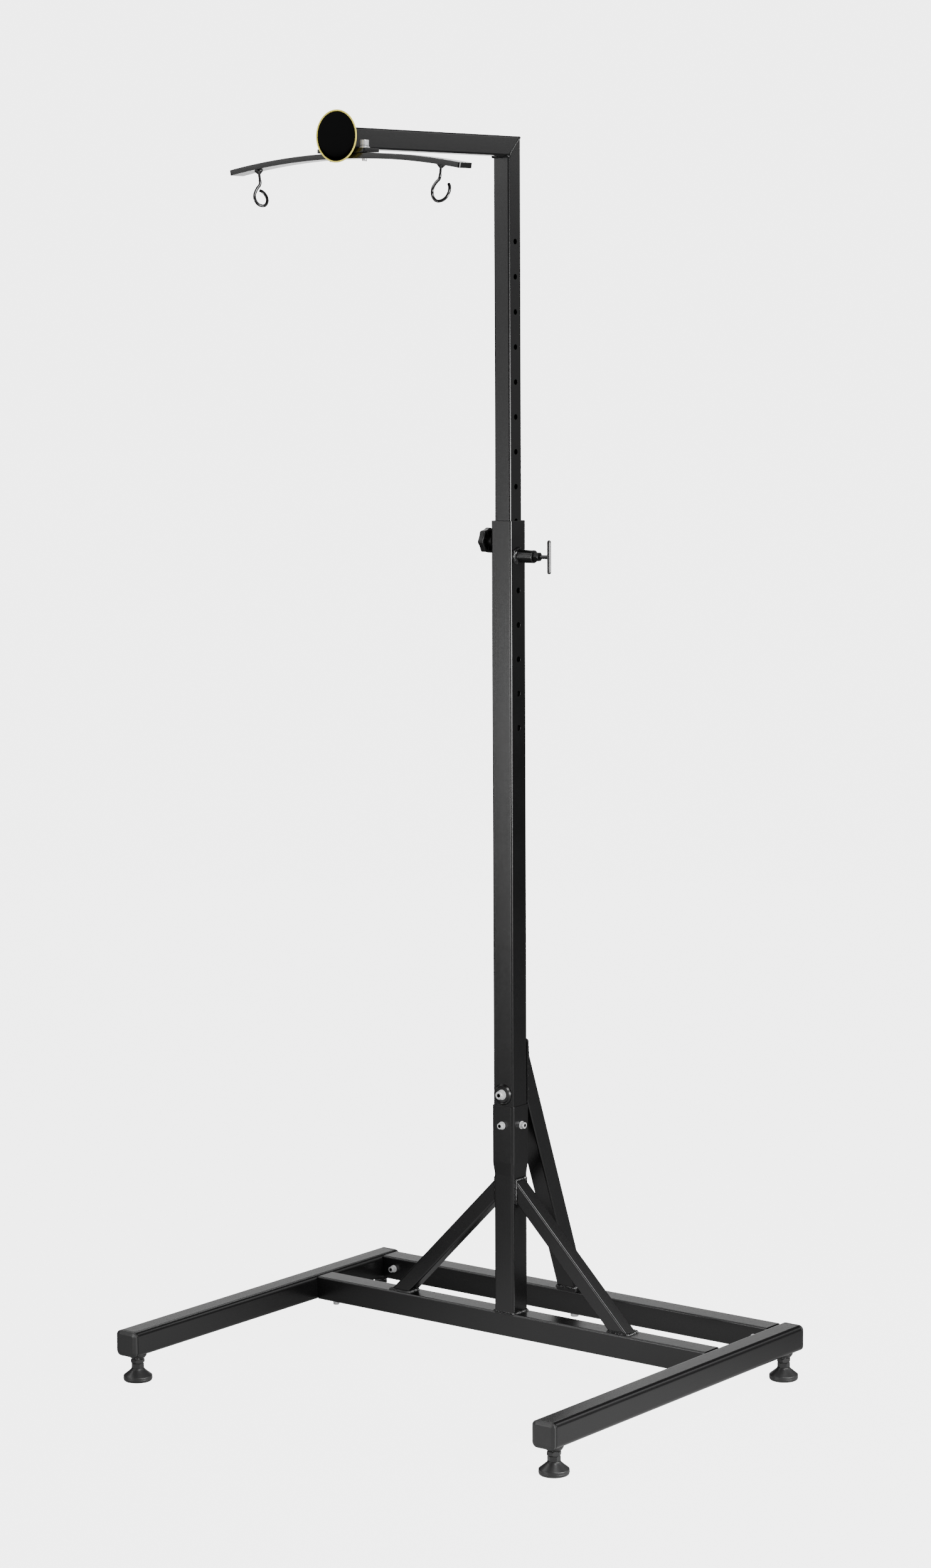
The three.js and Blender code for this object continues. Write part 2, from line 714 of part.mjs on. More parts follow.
// Plastic foot of the upper column, which slides in the lower one
function makeColumnFootPlug() {
  const flange = barTube - 2 * barWall - 2 * fit;
  const plug = innerTube - 2 * innerWall - 2 * fit;
  const body = solid(loft([
    [0, flange, innerCorner],
    [footPlugFlange, flange, innerCorner],
    [footPlugFlange, plug, innerCorner],
    [footPlugFlange + footPlugLength, plug, innerCorner],
  ]));
  const hollow = solid(loft([
    [-overrun, plug - 2 * footPlugWall, innerCorner / 2],
    [footPlugFlange + footPlugLength + overrun, plug - 2 * footPlugWall, innerCorner / 2],
  ], hiddenCornerSteps));
  return cut(body, hollow);
}

addPiece("upper_column", makeUpperColumn(), coat, [0, columnSetback, 0]);
addPiece("upper_column_foot_plug", makeColumnFootPlug(), plastic,
  [0, columnSetback, upperColumnFoot - footPlugFlange - fit]);
addPiece("arm", makeArm(), coat, [0, columnSetback, 0]);

// Arm end plug and the round badge on it

function makeArmEndPlug() {
  const plug = innerTube - 2 * innerWall - 2 * fit;
  const body = solid(loft([
    [-armPlugLength, plug, innerCorner],
    [fit, plug, innerCorner],
    [fit, innerTube, innerCorner],
    [fit + armPlugFlange, innerTube, innerCorner],
  ]));
  const hollow = solid(loft([
    [-armPlugLength - overrun, plug - 2 * armPlugWall, innerCorner / 2],
    [-armPlugFlange, plug - 2 * armPlugWall, innerCorner / 2],
  ], hiddenCornerSteps));
  return cut(body, hollow);
}

const badgeFaceRadius = badgeDiameter / 2 - badgeRim;

function makeBadgeRim() {
  const outer = badgeDiameter / 2;
  const bevel = badgeRim / 4;
  return solid(turned([
    [0, 0],
    [outer - bevel, 0],
    [outer, bevel],
    [outer, badgeDepth - bevel],
    [outer - bevel, badgeDepth],
    [badgeFaceRadius, badgeDepth],
    [badgeFaceRadius, badgeBack],
    [0, badgeBack],
  ], badgeSides));
}

const badgeSeat = armFront - 2 * fit - armPlugFlange;
addPiece("arm_end_plug", makeArmEndPlug(), plastic, [0, armFront, armLevel], [Math.PI / 2, 0, 0]);
addPiece("badge_rim", makeBadgeRim(), paleGold, [0, badgeSeat, armLevel + badgeRise], [Math.PI / 2, 0, 0]);
addPiece("badge_face", solid(rod(2 * (badgeFaceRadius - fit), 0, badgeDepth - badgeBack - badgeRecess - fit,
  badgeSides)), lacquer, [0, badgeSeat - badgeBack - fit, armLevel + badgeRise], [Math.PI / 2, 0, 0]);

// Mount plate under the arm, the arched bar under the plate and the two screws through both

function makeMountPlate() {
  const body = solid(plate(mountPlateWidth, mountPlateDepth, mountPlateCorner, mountPlateThickness));
  const holes = [-1, 1].map((side) =>
    solid(drill(largeScrew.thread + 2 * fit, -overrun, mountPlateThickness + overrun)
      .translate(side * plateScrewSpacing / 2, 0, 0)));
  return cut(body, ...holes);
}

function makeHangerBar() {
  const outerRadius = hangerRadius + hangerThickness;
  const halfAngle = Math.asin(hangerHalfSpan / outerRadius);
  const arc = (radius, from, to) => {
    const points = [];
    for (let step = 0; step <= hangerSteps; step++) {
      const angle = from + (to - from) * step / hangerSteps;
      points.push(new THREE.Vector2(radius * Math.sin(angle), radius * Math.cos(angle)));
    }
    return points;
  };
  const outline = [...arc(outerRadius, halfAngle, -halfAngle), ...arc(hangerRadius, -halfAngle, halfAngle)];
  const bar = solid(extruded(outline, hangerDepth).translate(0, 0, -hangerDepth / 2).rotateX(Math.PI / 2));
  const across = (diameter) => drill(diameter, hangerRadius - overrun, outerRadius + overrun);
  const screwHoles = [-1, 1].map((side) =>
    solid(across(largeScrew.thread + 2 * fit).translate(side * plateScrewSpacing / 2, 0, 0)));
  const hookHoles = [-1, 1].map((side) => solid(across(hookThread + 2 * fit).rotateY(side * hookLean)));
  return cut(bar, ...screwHoles, ...hookHoles);
}

const plateScrewLength = mountPlateThickness + hangerThickness + plateScrewPoint + 2 * fit;
addPiece("mount_plate", makeMountPlate(), coat, [0, hangerY, armBottom - fit - mountPlateThickness]);
addPiece("hanger_bar", makeHangerBar(), coat, [0, hangerY, hangerCentre]);
["left", "right"].forEach((side) => {
  const sign = side === "left" ? -1 : 1;
  addPiece(`mount_plate_${side}_screw`, makeScrew(largeScrew, plateScrewLength), zinc,
    [sign * plateScrewSpacing / 2, hangerY, armBottom - fit]);
});

// Screw hook: a threaded shank down the arch's radius, a bend and an eye opened sideways

const hookBend = hookNutHeight + hookThreadLength + hookNeck; // below the bar's inner face

function hookPath() {
  const halfWidth = hookLoopWidth / 2;
  const halfHeight = hookLoopHeight / 2;
  const points = [
    new THREE.Vector3(0, 0, hookNeck),
    new THREE.Vector3(0, 0, hookNeck * hookNeckShare),
  ];
  hookBendShares.forEach(([across, down]) => {
    points.push(new THREE.Vector3(-halfWidth * across, 0, -hookLoopDrop * down));
  });
  for (let step = 0; step <= hookStations; step++) {
    const degrees = hookLoopStart + (hookLoopEnd - hookLoopStart) * step / hookStations;
    const angle = THREE.MathUtils.degToRad(degrees);
    const across = -halfWidth * Math.sin(angle);
    const aside = Math.max(0, (degrees - halfTurn) / (hookLoopEnd - halfTurn)) * hookOpening;
    points.push(new THREE.Vector3(across, aside, halfHeight * Math.cos(angle) - hookLoopDrop));
  }
  return new THREE.CatmullRomCurve3(points);
}

function makeHook() {
  const outline = new THREE.Shape();
  outline.absarc(0, 0, hookWire / 2, 0, 2 * Math.PI);
  const wire = solid(new THREE.ExtrudeGeometry(outline, {
    steps: hookSteps, curveSegments: hookSections, bevelEnabled: false, extrudePath: hookPath(),
  }));
  const shankTop = hookNeck + hookThreadLength + hookNutHeight + hangerThickness;
  const shank = solid(rod(hookThread, hookNeck / 2, shankTop, hookSections));
  return join(wire, shank);
}

// Flanged nut that locks the hook's thread under the bar
function makeHookNut() {
  const bore = hookThread / 2 + fit;
  const waist = bore + fit + hookNutHeight * hookNutWaistShare;
  return solid(turned([
    [bore, 0],
    [waist, 0],
    [hookNutFlange / 2, hookNutHeight * hookNutConeShare],
    [hookNutFlange / 2, hookNutHeight - fit],
    [bore, hookNutHeight - fit],
    [bore, 0],
  ], holeSides));
}

["left", "right"].forEach((side) => {
  const sign = side === "left" ? -1 : 1;
  const lean = sign * hookLean;
  const along = (radius) => [radius * Math.sin(lean), hangerY, hangerCentre + radius * Math.cos(lean)];
  const hook = makeHook();
  const turn = THREE.MathUtils.degToRad(hookTurns[side]);
  const frame = new THREE.Group();
  frame.position.set(...along(hangerRadius - hookBend));
  frame.rotation.set(0, lean, 0);
  const mesh = new THREE.Mesh(geometryOf(hook), new THREE.MeshStandardMaterial(blackened));
  mesh.name = `${side}_screw_hook`;
  mesh.rotation.set(0, 0, turn);
  frame.add(mesh);
  group.add(frame);
  addPiece(`${side}_hook_nut`, makeHookNut(), blackened, along(hangerRadius - hookNutHeight), [0, lean, 0]);
});

// Spring plunger on the right of the lower column

const barrelLow = columnFace + fit;
const bushSeat = barrelLow + barrelLength;

function makeBarrel() {
  const bore = barrelBore / 2;
  const outer = barrelDiameter / 2;
  return solid(turned([
    [bore, 0],
    [barrelWeld / 2, 0],
    [outer, barrelWeldHeight],
    [outer, barrelLength - barrelRimBevel],
    [outer - barrelRimBevel, barrelLength],
    [bore, barrelLength],
    [bore, 0],
  ]));
}

// Hexagonal bush screwed into the barrel's end, with the rod's bore through it
function makeBush() {
  const head = makeHexagon(bushFlats, bushHeadLength).translate(0, 0, fit);
  const thread = solid(rod(barrelBore - 2 * fit, -bushThreadLength, bushHeadLength / 2, boreSides));
  const bore = solid(drill(pinRod + 2 * fit, -bushThreadLength - overrun, bushHeadLength + overrun));
  return cut(join(head, thread), bore);
}

// Plunger pin: nose, collar, rod and a pull bar with round ends across it
function makePlungerPin() {
  const noseEnd = innerTube / 2 + pinNoseGap;
  const collarLow = columnFace + fit;
  const body = solid(turned([
    [0, noseEnd],
    [pinNose / 2, noseEnd],
    [pinNose / 2, collarLow],
    [pinCollar / 2, collarLow],
    [pinCollar / 2, collarLow + pinCollarLength],
    [pinRod / 2, collarLow + pinCollarLength],
    [pinRod / 2, columnFace + pinReach],
    [0, columnFace + pinReach],
  ], holeSides));
  const straight = pullBarLength - pullBar;
  const bar = new THREE.CapsuleGeometry(pullBar / 2, straight, pullBarEndSteps, holeSides)
    .rotateZ(Math.PI / 2).translate(0, 0, columnFace + pinReach);
  return join(body, solid(bar));
}

function makeSpring() {
  const low = columnFace + fit + pinCollarLength + fit + springWire / 2;
  const high = bushSeat - bushThreadLength - fit - springWire / 2;
  const radius = (pinRod + pinCollar) / 4 + fit;
  const points = [];
  const steps = springCoils * springCoilSteps;
  for (let step = 0; step <= steps; step++) {
    const angle = step / springCoilSteps * 2 * Math.PI;
    const level = low + (high - low) * step / steps;
    points.push(new THREE.Vector3(radius * Math.cos(angle), radius * Math.sin(angle), level));
  }
  const outline = new THREE.Shape();
  outline.absarc(0, 0, springWire / 2, 0, 2 * Math.PI);
  const extrudePath = new THREE.CatmullRomCurve3(points);
  const options = { steps, curveSegments: springSections, bevelEnabled: false, extrudePath };
  return solid(new THREE.ExtrudeGeometry(outline, options));
}

const toRight = [0, Math.PI / 2, 0];
const toLeft = [0, -Math.PI / 2, 0];
addPiece("plunger_barrel", makeBarrel(), coat, [barrelLow, columnSetback, plungerLevel], toRight);
addPiece("plunger_bush", makeBush(), blackened, [bushSeat, columnSetback, plungerLevel], toRight);
addPiece("plunger_pin", makePlungerPin(), blackened, [0, columnSetback, plungerLevel], toRight);
addPiece("plunger_spring", makeSpring(), steel, [0, columnSetback, plungerLevel], toRight);

// Star knob, its stud and the nut welded to the left of the lower column

const knobHubLow = columnFace + fit + weldNutHeight + knobGap;
const knobRimLow = knobHubLow + knobHubLength;
const knobTop = knobRimLow + knobRim;

function makeStarKnob() {
  const firstLobe = THREE.MathUtils.degToRad(knobFirstLobe);
  const points = [];
  const steps = knobLobes * knobLobeSteps;
  for (let step = 0; step < steps; step++) {
    const angle = step / steps * 2 * Math.PI;
    const valley = (1 - Math.cos(knobLobes * angle)) / 2;
    const radius = knobDiameter / 2 - knobEdge - knobLobeDepth * valley;
    const turn = angle + firstLobe;
    points.push(new THREE.Vector2(radius * Math.cos(turn), radius * Math.sin(turn)));
  }
  const star = new THREE.ExtrudeGeometry(new THREE.Shape(points), {
    depth: knobRim - 2 * knobEdge,
    bevelThickness: knobEdge,
    bevelSize: knobEdge,
    bevelSegments: knobEdgeSteps,
  }).translate(0, 0, knobRimLow + knobEdge);
  const hub = rod(knobHub, knobHubLow, knobRimLow + knobEdge);
  const dish = turned([
    [0, knobTop - knobDish],
    [knobHub / 2, knobTop - knobDish],
    [knobHub / 2 + knobDish, knobTop + fit],
    [0, knobTop + fit],
  ]);
  const hollow = turned([
    [knobHub / 2, knobRimLow - overrun],
    [knobHollow / 2, knobRimLow - overrun],
    [knobHollow / 2, knobTop - knobFaceWall],
    [knobHub / 2, knobTop - knobFaceWall],
    [knobHub / 2, knobRimLow - overrun],
  ], holeSides);
  const studBore = drill(clampThread + 2 * fit, knobHubLow - overrun, knobHubLow + studBite + fit);
  return cut(join(cut(solid(star), solid(hollow)), solid(hub)), solid(dish), solid(studBore));
}

addPiece("weld_nut", makeNut(weldNutFlats, weldNutHeight, clampThread + 2 * fit), coat,
  [-columnFace - fit, columnSetback, clampLevel], toLeft);
addPiece("clamp_stud", solid(rod(clampThread, innerTube / 2 + fit, knobHubLow + studBite, boreSides)), zinc,
  [0, columnSetback, clampLevel], toLeft);
addPiece("star_knob", makeStarKnob(), plastic, [0, columnSetback, clampLevel], toLeft);

export default group;
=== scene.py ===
import math

import bmesh
import bpy
from mathutils import Matrix, Vector


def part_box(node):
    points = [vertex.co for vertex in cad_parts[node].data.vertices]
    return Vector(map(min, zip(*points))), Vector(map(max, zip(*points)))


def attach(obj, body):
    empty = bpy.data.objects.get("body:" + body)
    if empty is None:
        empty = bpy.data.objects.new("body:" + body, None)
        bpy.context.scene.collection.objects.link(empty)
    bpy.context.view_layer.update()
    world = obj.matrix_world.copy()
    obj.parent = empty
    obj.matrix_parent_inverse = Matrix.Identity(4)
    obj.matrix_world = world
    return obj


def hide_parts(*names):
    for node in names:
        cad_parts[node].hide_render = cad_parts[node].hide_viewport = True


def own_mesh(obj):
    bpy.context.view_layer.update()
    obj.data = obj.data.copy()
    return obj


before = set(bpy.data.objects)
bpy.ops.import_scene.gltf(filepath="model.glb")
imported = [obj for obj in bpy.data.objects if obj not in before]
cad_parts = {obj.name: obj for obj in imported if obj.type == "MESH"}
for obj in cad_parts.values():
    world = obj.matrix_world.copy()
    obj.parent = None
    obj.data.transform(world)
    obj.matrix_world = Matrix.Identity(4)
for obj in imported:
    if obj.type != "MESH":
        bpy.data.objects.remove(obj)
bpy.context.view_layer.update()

# The camera stands where the photographer stood: in front and to the right of the stand, a little
# above its middle, looking slightly down through a long lens. The image is 1484 by 2500.
camera_place = (3.4830, -4.4953, 1.6411)
camera_turn = 0.657
camera_tilt = 0.1244
camera_roll = -0.005
film_height = 36
focal_pixels = 6016.2
image_height = 2500
bpy.ops.object.camera_add()
camera = bpy.context.object
camera.name = "photographer"
camera.data.sensor_width = film_height
camera.data.lens = focal_pixels * film_height / image_height
camera.matrix_world = (
    Matrix.Translation(camera_place)
    @ Matrix.Rotation(camera_turn, 4, "Z")
    @ Matrix.Rotation(math.pi / 2 - camera_tilt, 4, "X")
    @ Matrix.Rotation(camera_roll, 4, "Z")
)
bpy.context.scene.camera = camera

# The studio: white paper on the floor and a white backdrop, both evenly white to the camera. Beside the
# stand the paper glows as a painted pool of light, seen only in reflections and bounced light. Soft
# lamps light the front, the tops and the tubes' corners. Each is given by its place, the point it is
# turned to, its width and height in metres, and its power in watts.
paper_white = 4.5
paper_grey = (0.2, 0.2, 0.2, 1)
room_light = 0.08
floor_radius = 40
# The painted pool of light on the paper: its middle, where its glow starts to fade, where it is gone,
# and its strength.
painted_pool_place, painted_pool_near, painted_pool_far, painted_pool_glow = (0.40, -0.42, 0), 0.45, 1.15, 0.52
lamps = {
    "front_lamp": ((-2.3, -2.9, 1.1), (0, 0.1, 1.0), (1.3, 1.3), 4.7),
    "front_high_lamp": ((-2.3, -2.9, 2.5), (0, 0.1, 1.2), (1.6, 1.2), 11.5),
    "front_centre_lamp": ((-1.4, -3.8, 0.5), (0, 0.1, 0.3), (1.8, 0.9), 48),
    "back_left_lamp": ((-3.2, 4.3, 1.75), (0, 0.1, 0.2), (3.0, 0.9), 6),
    "back_left_low_lamp": ((-3.2, 4.3, 0.7), (0, -0.25, 1.85), (3.0, 0.9), 11),
    "back_right_lamp": ((2.4, 3.4, 1.5), (0, 0.13, 1.2), (1.8, 1.2), 1.6),
    "back_right_high_lamp": ((2.4, 3.4, 2.9), (0, 0.13, 1.2), (1.8, 1.6), 12.5),
    "side_lamp": ((2.9, 0.0, 1.0), (0, 0.13, 1.0), (2.4, 0.9), 150),
    "top_lamp": ((1.6, -0.9, 2.8), (0.1, 0.13, 0.2), (0.9, 0.9), 45),
    "overhead_lamp": ((-1.9, -0.7, 2.5), (0, 0.13, 0.1), (1.2, 1.2), 14),
    "arch_under_lamp": ((-1.3, 1.4, 1.5), (-0.1, -0.25, 1.85), (1.4, 0.35), 4),
    "arch_top_lamp": ((-1.05, 1.4, 2.5), (0.15, -0.25, 1.88), (1.1, 0.6), 8),
}


def add(primitive, name, **settings):
    """A basic shape, the only thing selected, its place, turn and scale taken into its mesh."""
    bpy.ops.object.select_all(action="DESELECT")
    primitive(**settings)
    piece = bpy.context.object
    piece.name = name
    bpy.ops.object.transform_apply()
    return piece


def add_node(tree, kind, values=None, **settings):
    """A new node with its settings and the values of its inputs."""
    node = tree.nodes.new(kind)
    for name, value in settings.items():
        setattr(node, name, value)
    for name, value in (values or {}).items():
        node.inputs[name].default_value = value
    return node


def wire(tree, *pairs):
    """Links each output to the input beside it."""
    for source, target in pairs:
        tree.links.new(source, target)


floor = add(bpy.ops.mesh.primitive_circle_add, "studio_floor", vertices=96, radius=floor_radius,
            fill_type="NGON")
paper = bpy.data.materials.new("white paper")
paper.use_nodes = True
tree = paper.node_tree
sheet = tree.nodes["Principled BSDF"]
sheet.inputs["Base Color"].default_value = paper_grey
sheet.inputs["Roughness"].default_value = 0.9
sheet.inputs["Emission Color"].default_value = (1, 1, 1, 1)
# Painted light: to other rays the paper glows in a pool that fades away from the stand; the camera sees
# it evenly white.
spot = add_node(tree, "ShaderNodeTexCoord")
reach = add_node(tree, "ShaderNodeVectorMath", {1: painted_pool_place}, operation="DISTANCE")
pool = add_node(tree, "ShaderNodeMapRange", {"From Min": painted_pool_near, "From Max": painted_pool_far,
                                             "To Min": painted_pool_glow, "To Max": 0},
                interpolation_type="SMOOTHSTEP")
seen = add_node(tree, "ShaderNodeLightPath")
glow = add_node(tree, "ShaderNodeMix", {"B": paper_white})
wire(tree, (spot.outputs["Object"], reach.inputs[0]), (reach.outputs["Value"], pool.inputs["Value"]),
     (seen.outputs["Is Camera Ray"], glow.inputs["Factor"]), (pool.outputs["Result"], glow.inputs["A"]),
     (glow.outputs["Result"], sheet.inputs["Emission Strength"]))
floor.data.materials.append(paper)
world = bpy.data.worlds.new("studio")
bpy.context.scene.world = world
world.use_nodes = True
tree = world.node_tree
backdrop = tree.nodes["Background"]
backdrop.inputs["Color"].default_value = (1, 1, 1, 1)
seen = add_node(tree, "ShaderNodeLightPath")
glow = add_node(tree, "ShaderNodeMapRange", {"To Min": room_light, "To Max": paper_white})
wire(tree, (seen.outputs["Is Camera Ray"], glow.inputs["Value"]),
     (glow.outputs["Result"], backdrop.inputs["Strength"]))
for name, (place, aim, size, power) in lamps.items():
    bpy.ops.object.light_add(type="AREA", location=place)
    lamp = bpy.context.object
    lamp.name = name
    lamp.data.shape = "RECTANGLE"
    lamp.data.size, lamp.data.size_y = size
    lamp.data.energy = power
    lamp.visible_camera = False
    lamp.rotation_euler = (Vector(aim) - Vector(place)).to_track_quat("-Z", "Y").to_euler()

# Left and right leg: 40 mm square steel tube with well rounded corners. Like all the welded steel of
# the stand it is blasted and coated in satin black powder, whose skin has a fine orange peel.
hands = (("left", -1), ("right", 1))
leg_x = 0.400
leg_level = 0.063
leg_width = 0.040
leg_corner = 0.008
leg_length = 0.640
round_steps = 10
crisp = math.radians(33)
grain = bpy.data.node_groups.new("surface grain", "ShaderNodeTree")
for label, way, kind in (("Grain size", "INPUT", "Float"), ("Patch size", "INPUT", "Float"),
                         ("Drawn", "INPUT", "Vector"), ("Height", "OUTPUT", "Float"),
                         ("Patches", "OUTPUT", "Float")):
    grain.interface.new_socket(label, in_out=way, socket_type="NodeSocket" + kind)
asked = add_node(grain, "NodeGroupInput")
given = add_node(grain, "NodeGroupOutput")
spot = add_node(grain, "ShaderNodeTexCoord")
peel = add_node(grain, "ShaderNodeTexNoise", {"Detail": 2})
drawn = add_node(grain, "ShaderNodeVectorMath", operation="MULTIPLY")
streaks = add_node(grain, "ShaderNodeTexNoise", {"Detail": 1})
relief = add_node(grain, "ShaderNodeMix")
patches = add_node(grain, "ShaderNodeTexNoise", {"Detail": 5, "Roughness": 0.6})
wire(grain, (spot.outputs["Object"], peel.inputs["Vector"]),
     (spot.outputs["Object"], patches.inputs["Vector"]),
     (asked.outputs["Grain size"], peel.inputs["Scale"]),
     (asked.outputs["Patch size"], patches.inputs["Scale"]),
     (spot.outputs["Object"], drawn.inputs[0]), (asked.outputs["Drawn"], drawn.inputs[1]),
     (drawn.outputs["Vector"], streaks.inputs["Vector"]),
     (asked.outputs["Grain size"], streaks.inputs["Scale"]),
     (peel.outputs["Fac"], relief.inputs["A"]), (streaks.outputs["Fac"], relief.inputs["B"]),
     (relief.outputs["Result"], given.inputs["Height"]),
     (patches.outputs["Fac"], given.inputs["Patches"]))


def new_finish(slot, name, colour, roughness, metallic=0.0, grain_size=900, grain_depth=0.00001,
               patch_size=14, shade=0.3, polish=0.06, specular=0.5, drawn=(1, 1, 1)):
    """A surface whose fine grain, colour and polish change a little over the piece, with faint lines
    along a piece that was drawn: the grain is stretched where drawn is below 1."""
    finish = bpy.data.materials.new(name)
    finish.use_nodes = True
    tree = finish.node_tree
    skin = tree.nodes["Principled BSDF"]
    skin.inputs["Metallic"].default_value = metallic
    skin.inputs["Specular IOR Level"].default_value = specular
    effect = add_node(tree, "ShaderNodeGroup", {"Grain size": grain_size, "Patch size": patch_size,
                                                "Drawn": drawn}, node_tree=grain)
    tint = add_node(tree, "ShaderNodeMix", {"A": [c * (1 - shade) for c in colour] + [1],
                                            "B": [c * (1 + shade) for c in colour] + [1]},
                    data_type="RGBA")
    sheen = add_node(tree, "ShaderNodeMapRange", {"To Min": roughness - polish,
                                                  "To Max": roughness + polish})
    bump = add_node(tree, "ShaderNodeBump", {"Distance": grain_depth})
    wire(tree, (effect.outputs["Patches"], tint.inputs["Factor"]),
         (tint.outputs["Result"], skin.inputs["Base Color"]),
         (effect.outputs["Patches"], sheen.inputs["Value"]),
         (sheen.outputs["Result"], skin.inputs["Roughness"]),
         (effect.outputs["Height"], bump.inputs["Height"]),
         (bump.outputs["Normal"], skin.inputs["Normal"]))
    return finish


def pick(test, kind="FACE"):
    """Goes into edit mode and selects only the faces, edges or corners that pass the test."""
    bpy.ops.object.mode_set(mode="EDIT")
    bpy.ops.mesh.select_mode(type=kind)
    bpy.ops.mesh.select_all(action="DESELECT")
    shape = bmesh.from_edit_mesh(bpy.context.object.data)
    parts = {"FACE": shape.faces, "EDGE": shape.edges, "VERT": shape.verts}[kind]
    for part in parts:
        if test(part):
            part.select_set(True)
    bmesh.update_edit_mesh(bpy.context.object.data)


def edit_all():
    """Goes into edit mode and selects the whole piece."""
    bpy.ops.object.mode_set(mode="EDIT")
    bpy.ops.mesh.select_all(action="SELECT")


def end_edit(outward=False):
    """Leaves edit mode, and first turns every face of a closed piece outward where that is asked."""
    if outward:
        bpy.ops.mesh.select_all(action="SELECT")
        bpy.ops.mesh.normals_make_consistent(inside=False)
    bpy.ops.object.mode_set(mode="OBJECT")


def pull_out(rise, share=1):
    """Pulls what is selected out along Z, and widens it by a share."""
    bpy.ops.mesh.extrude_region_move(TRANSFORM_OT_translate={"value": (0, 0, rise)})
    bpy.ops.transform.resize(value=(share, share, 1))


def only(piece):
    """Selects one piece and nothing else, and makes it the active one."""
    bpy.ops.object.select_all(action="DESELECT")
    piece.select_set(True)
    bpy.context.view_layer.objects.active = piece


def put(piece, place, turn=(0, 0, 0)):
    """Turns a piece that is still at the origin and moves it to its place."""
    only(piece)
    piece.location, piece.rotation_euler = place, turn
    bpy.ops.object.transform_apply()


def apply_to(piece, kind, **settings):
    """Adds one modifier to the piece and applies it."""
    bpy.context.view_layer.objects.active = piece
    change = piece.modifiers.new(kind.lower(), kind)
    for key, value in settings.items():
        setattr(change, key, value)
    bpy.ops.object.modifier_apply(modifier=change.name)


def square_stock(name, width, corner, length, steps=6):
    """A straight bar about Z with rounded long edges, its middle at the origin."""
    bar = add(bpy.ops.mesh.primitive_cube_add, name, size=1, scale=(width, width, length))
    pick(lambda edge: abs(edge.verts[0].co.z - edge.verts[1].co.z) > length / 2, "EDGE")
    bpy.ops.mesh.bevel(offset=corner, segments=steps, affect="EDGES")
    end_edit()
    return bar


def break_edges(piece, width=0.0003, angle=crisp, steps=2):
    """Takes the sharpness off every hard edge, as blasting and coating do."""
    apply_to(piece, "BEVEL", width=width, segments=steps, limit_method="ANGLE", angle_limit=angle)


def fit_piece(piece, body, finish, stands_for=(), place=(0, 0, 0), turn=(0, 0, 0)):
    """Sets a finished piece in its place, coats it and fixes it to its body."""
    put(piece, place, turn)
    piece.data.materials.clear()
    piece.data.materials.append(finish)
    bpy.ops.object.shade_smooth_by_angle(angle=crisp)
    apply_to(piece, "WEIGHTED_NORMAL", keep_sharp=True)
    # Painted shade: the marked faces in the key socket and under the head take the near-black zinc.
    if "painted_shade_faces" in piece.data.attributes:
        piece.data.materials.append(socket_shade_zinc)
        for facet, mark in zip(piece.data.polygons, piece.data.attributes["painted_shade_faces"].data):
            facet.material_index = int(mark.value)
    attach(piece, body)
    if stands_for:
        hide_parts(*stands_for)


coat = {"colour": (0.0030, 0.0030, 0.0031), "roughness": 0.24, "grain_depth": 0.000065,
        "polish": 0.03, "specular": 0.6}
stretch = 0.015
powder_coat = new_finish("powder_coat", "satin black powder coat", **coat)
leg_coat = new_finish("powder_coat", "satin black powder coat on the legs", **coat,
                      drawn=(1, stretch, 1))
along_y = (math.pi / 2, 0, 0)
along_x = (0, math.pi / 2, 0)
for side, hand in hands:
    leg = square_stock(f"{side}_leg_tube", leg_width, leg_corner, leg_length, round_steps)
    break_edges(leg)
    fit_piece(leg, "stand", leg_coat, [f"{side}_leg"], (hand * leg_x, 0, leg_level), along_y)

# Four end caps, moulded in black plastic and driven into the legs. Each has a band flush with the
# tube, a shallow bevel all round and a flat face.
cap_gap = 0.0008
cap_band = 0.0042
cap_inset = 0.0055
cap_rise = 0.002
soft_edge, soft_angle = 0.0005, math.radians(14)
black_plastic = new_finish("black_plastic", "moulded black plastic", (0.021, 0.021, 0.0212), 0.38,
                           grain_size=1400, grain_depth=0.00002, patch_size=30)
ends = [(f"{side}_{end}", hand * leg_x, way)
        for side, hand in hands for end, way in (("front", -1), ("rear", 1))]
for corner, x, way in ends:
    cap = square_stock(f"{corner}_moulded_cap", leg_width, leg_corner, cap_band, round_steps)
    pick(lambda face: face.normal.z > 0.9)
    bpy.ops.mesh.inset(thickness=cap_inset, depth=cap_rise)
    end_edit()
    break_edges(cap, soft_edge, soft_angle, 3)
    y = way * (leg_length / 2 + cap_gap + cap_band / 2)
    fit_piece(cap, "stand", black_plastic, [f"{corner}_leg_cap"], (x, y, leg_level),
              (-way * math.pi / 2, 0, 0))

# Four levelling feet: a round sole, cone and hexagonal neck moulded in one on a threaded steel stud,
# with a lock nut above the neck and a flanged insert pressed into the underside of the leg.
foot_y = 0.300
foot_profile = [
    (0.0188, 0), (0.0206, 0.0003), (0.0217, 0.0012), (0.0222, 0.0026), (0.0225, 0.0040),
    (0.0226, 0.0044), (0.0224, 0.0048), (0.0224, 0.0078), (0.0222, 0.0086), (0.0216, 0.0092),
    (0.0160, 0.0136), (0.0120, 0.0170), (0.0104, 0.0187), (0.0098, 0.0200), (0.0030, 0.0200)]
neck_flats = 0.017
neck_low, neck_high = 0.0180, 0.0280
neck_chamfer = 0.0009
stud_crest, stud_root, stud_pitch = 0.0050, 0.0042, 0.0015
stud_low, stud_high = 0.027, 0.066
merge_gap = 0.000005
fine_edge = 0.0002
nut_flats = 0.019
nut_height = 0.0065
